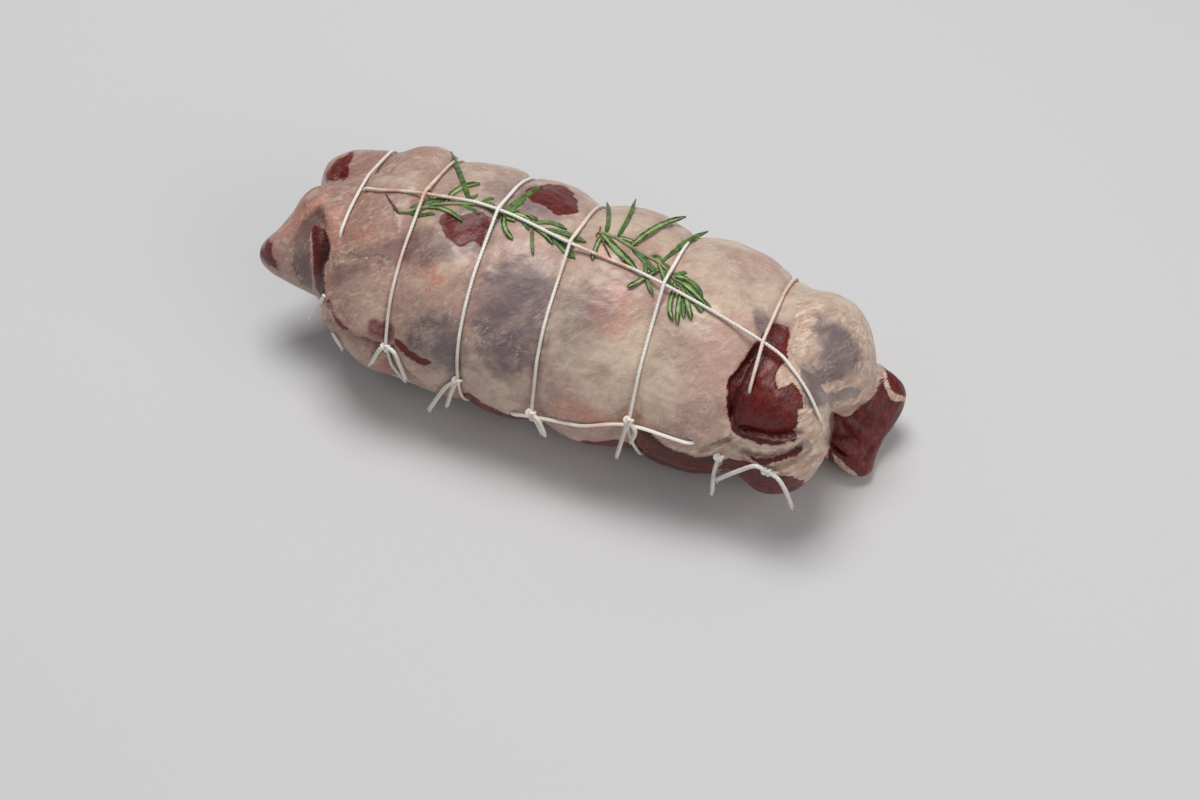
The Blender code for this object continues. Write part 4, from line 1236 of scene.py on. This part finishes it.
def paintMeat():
    material, tree, shader = newMaterial("raw_lamb")
    place = objectPlace(tree)
    slanted = stretched(tree, place, (1.5, 0.85, 0.85), lamb["slant"])
    combed = stretched(tree, place, (2.8, 0.7, 0.7), lamb["slant"])
    fibres = attributeOf(tree, "strand", "Vector")
    muscle, purple, fat, flush, dark, pink = (attributeOf(tree, name) for name in finishes)
    hue = {name: tint(*screen) for name, screen in lamb["colours"].items()}

    # membrane: beige and pink clouds under mottled fat, lilac where muscle shows through, fine pale fibres
    skin = blended(tree, cloudy(tree, place, 22, 0.40, 0.60), hue["skin"], hue["rosySkin"])
    veil = cloudy(tree, slanted, 60, 0.40, 0.68, 0.0, 0.6, 4, 0.6, 0.5)
    pinker = product(tree, pink, cloudy(tree, place, 40, 0.30, 0.62, 0.5))
    flushed = product(tree, flush, cloudy(tree, place, 140, 0.35, 0.65, 0.35))
    mottles = cloudy(tree, slanted, 200, 0.48, 0.70, 0.0, 0.42, 4, 0.62, 0.9)
    freckles = cloudy(tree, slanted, 420, 0.50, 0.70, 0.0, 0.22, 4, 0.6)
    depth = product(tree, purple, cloudy(tree, slanted, 90, 0.30, 0.58, 0.62, 1.0, 4, 0.6))
    depth = product(tree, depth, 0.9)
    lilac = blended(tree, between(tree, pink, 0.0, 0.45), hue["lilac"], hue["pinkLilac"])
    threads = cloudy(tree, place, 48, 0.46, 0.62, 0.0, 0.42, 2)
    threads = product(tree, lined(tree, combed, 210, 1.0, 0.030), threads)
    clear = calc(tree, "SUBTRACT", 1.0, product(tree, purple, 0.7))
    hairs = product(tree, lined(tree, combed, 460, 0.8, 0.030), product(tree, clear, 0.30))
    for amount, colour in ((veil, hue["veil"]), (pinker, hue["pink"]), (flushed, hue["flush"]),
                           (mottles, hue["mottle"]), (freckles, hue["freckle"]), (depth, lilac),
                           (threads, hue["thread"]), (hairs, hue["hair"])):
        skin = blended(tree, amount, skin, colour)

    # fat: pale and pinkish, in streaks
    creamy = cloudy(tree, stretched(tree, slanted, (0.5, 1, 1)), 380, 0.36, 0.66, 0.0, 1.0, 5, 0.65)
    edgeNoise = product(tree, calc(tree, "SUBTRACT", grainy(tree, place, 420, 4), 0.5), 0.9)
    fatEdge = between(tree, calc(tree, "ADD", fat, edgeNoise), 0.34, 0.66)
    skin = blended(tree, fatEdge, skin, blended(tree, creamy, hue["cream"], hue["rosyCream"]))

    # muscle: dark red, streaked along its fibres
    streaks = grainy(tree, stretched(tree, fibres, (0.22, 1, 1)), 480, 5, 0.62, 1.3)
    red = blended(tree, between(tree, streaks, 0.34, 0.68), hue["deepRed"], hue["lightRed"])
    red = blended(tree, cloudy(tree, place, 90, 0.35, 0.68, 0.0, 0.5), red, hue["patchRed"])
    marbling = product(tree, lined(tree, stretched(tree, fibres, (0.3, 1, 1)), 240, 1.4, 0.012), 0.30)
    red = blended(tree, marbling, red, hue["marbling"])
    muscleEdge = calc(tree, "ADD", muscle, product(tree, edgeNoise, 0.7))
    cut = between(tree, muscleEdge, 0.36, 0.66)
    skin = blended(tree, product(tree, between(tree, muscleEdge, 0.10, 0.40), 0.45), skin, hue["rim"])
    colour = blended(tree, cut, skin, red)
    # painted shade: near-black red blended in by the dark mask in clefts, creases and under lips
    colour = blended(tree, product(tree, dark, 0.85), colour, hue["slitShade"])
    tree.links.new(colour, shader.inputs["Base Color"])

    wet = cloudy(tree, place, 120, 0.35, 0.70, 0.30, 0.54, 4, 0.6)
    tree.links.new(calc(tree, "SUBTRACT", wet, product(tree, cut, 0.06)), shader.inputs["Roughness"])
    for name, value in lamb["gloss"].items():
        shader.inputs[name].default_value = value

    relief = bumped(tree, grainy(tree, slanted, 120, 4, 0.58, 1.0), 1.5, 0.5)
    relief = bumped(tree, grainy(tree, slanted, 460, 3, 0.55), 0.22, 0.6, relief)
    relief = bumped(tree, threads, 0.25, 0.7, relief)
    relief = bumped(tree, product(tree, streaks, cut), 0.9, 0.7, relief)
    relief = bumped(tree, product(tree, creamy, fatEdge), -0.7, 0.7, relief)
    tree.links.new(relief, shader.inputs["Normal"])
    return material


meat.data.materials.append(paintMeat())
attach(meat, "root")
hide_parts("meat")
say("meat painted")


# Floor and light

studio = {
    "floor": 6.0, "floorColour": (210, 210, 211),
    "sky": (0.93, 0.96, 1.0), "skyStrength": 0.29,
    "lamps": [  # place, aimed at, size, power, colour
        ((-0.25, 0.28, 1.9), (0.0, 0.0, 0.05), 0.9, 25.5, (1.0, 0.985, 0.965)),
        ((1.3, -0.45, 0.8), (0.0, 0.0, 0.05), 1.2, 6.0, (1.0, 0.96, 0.92)),
    ],
}


def addStudio():
    deselectAll()
    bpy.ops.mesh.primitive_plane_add(size=studio["floor"], location=(0, 0, -0.0002))
    floor = bpy.context.object
    floor.name = "pale_floor"
    material, _, shader = newMaterial("pale_floor")
    shader.inputs["Base Color"].default_value = (*tint(*studio["floorColour"]), 1)
    shader.inputs["Roughness"].default_value = 0.9
    floor.data.materials.append(material)
    world = bpy.data.worlds.new("sky")
    world.use_nodes = True
    back = world.node_tree.nodes["Background"]
    back.inputs["Color"].default_value = (*studio["sky"], 1)
    back.inputs["Strength"].default_value = studio["skyStrength"]
    bpy.context.scene.world = world
    for place, aim, size, power, colour in studio["lamps"]:
        deselectAll()
        bpy.ops.object.light_add(type="AREA", location=place)
        lamp = bpy.context.object
        lamp.rotation_euler = (Vector(aim) - Vector(place)).to_track_quat("-Z", "Y").to_euler()
        lamp.data.size, lamp.data.energy, lamp.data.color = size, power, colour
    bpy.context.scene.view_settings.view_transform = "Standard"


addStudio()
say("studio lit")
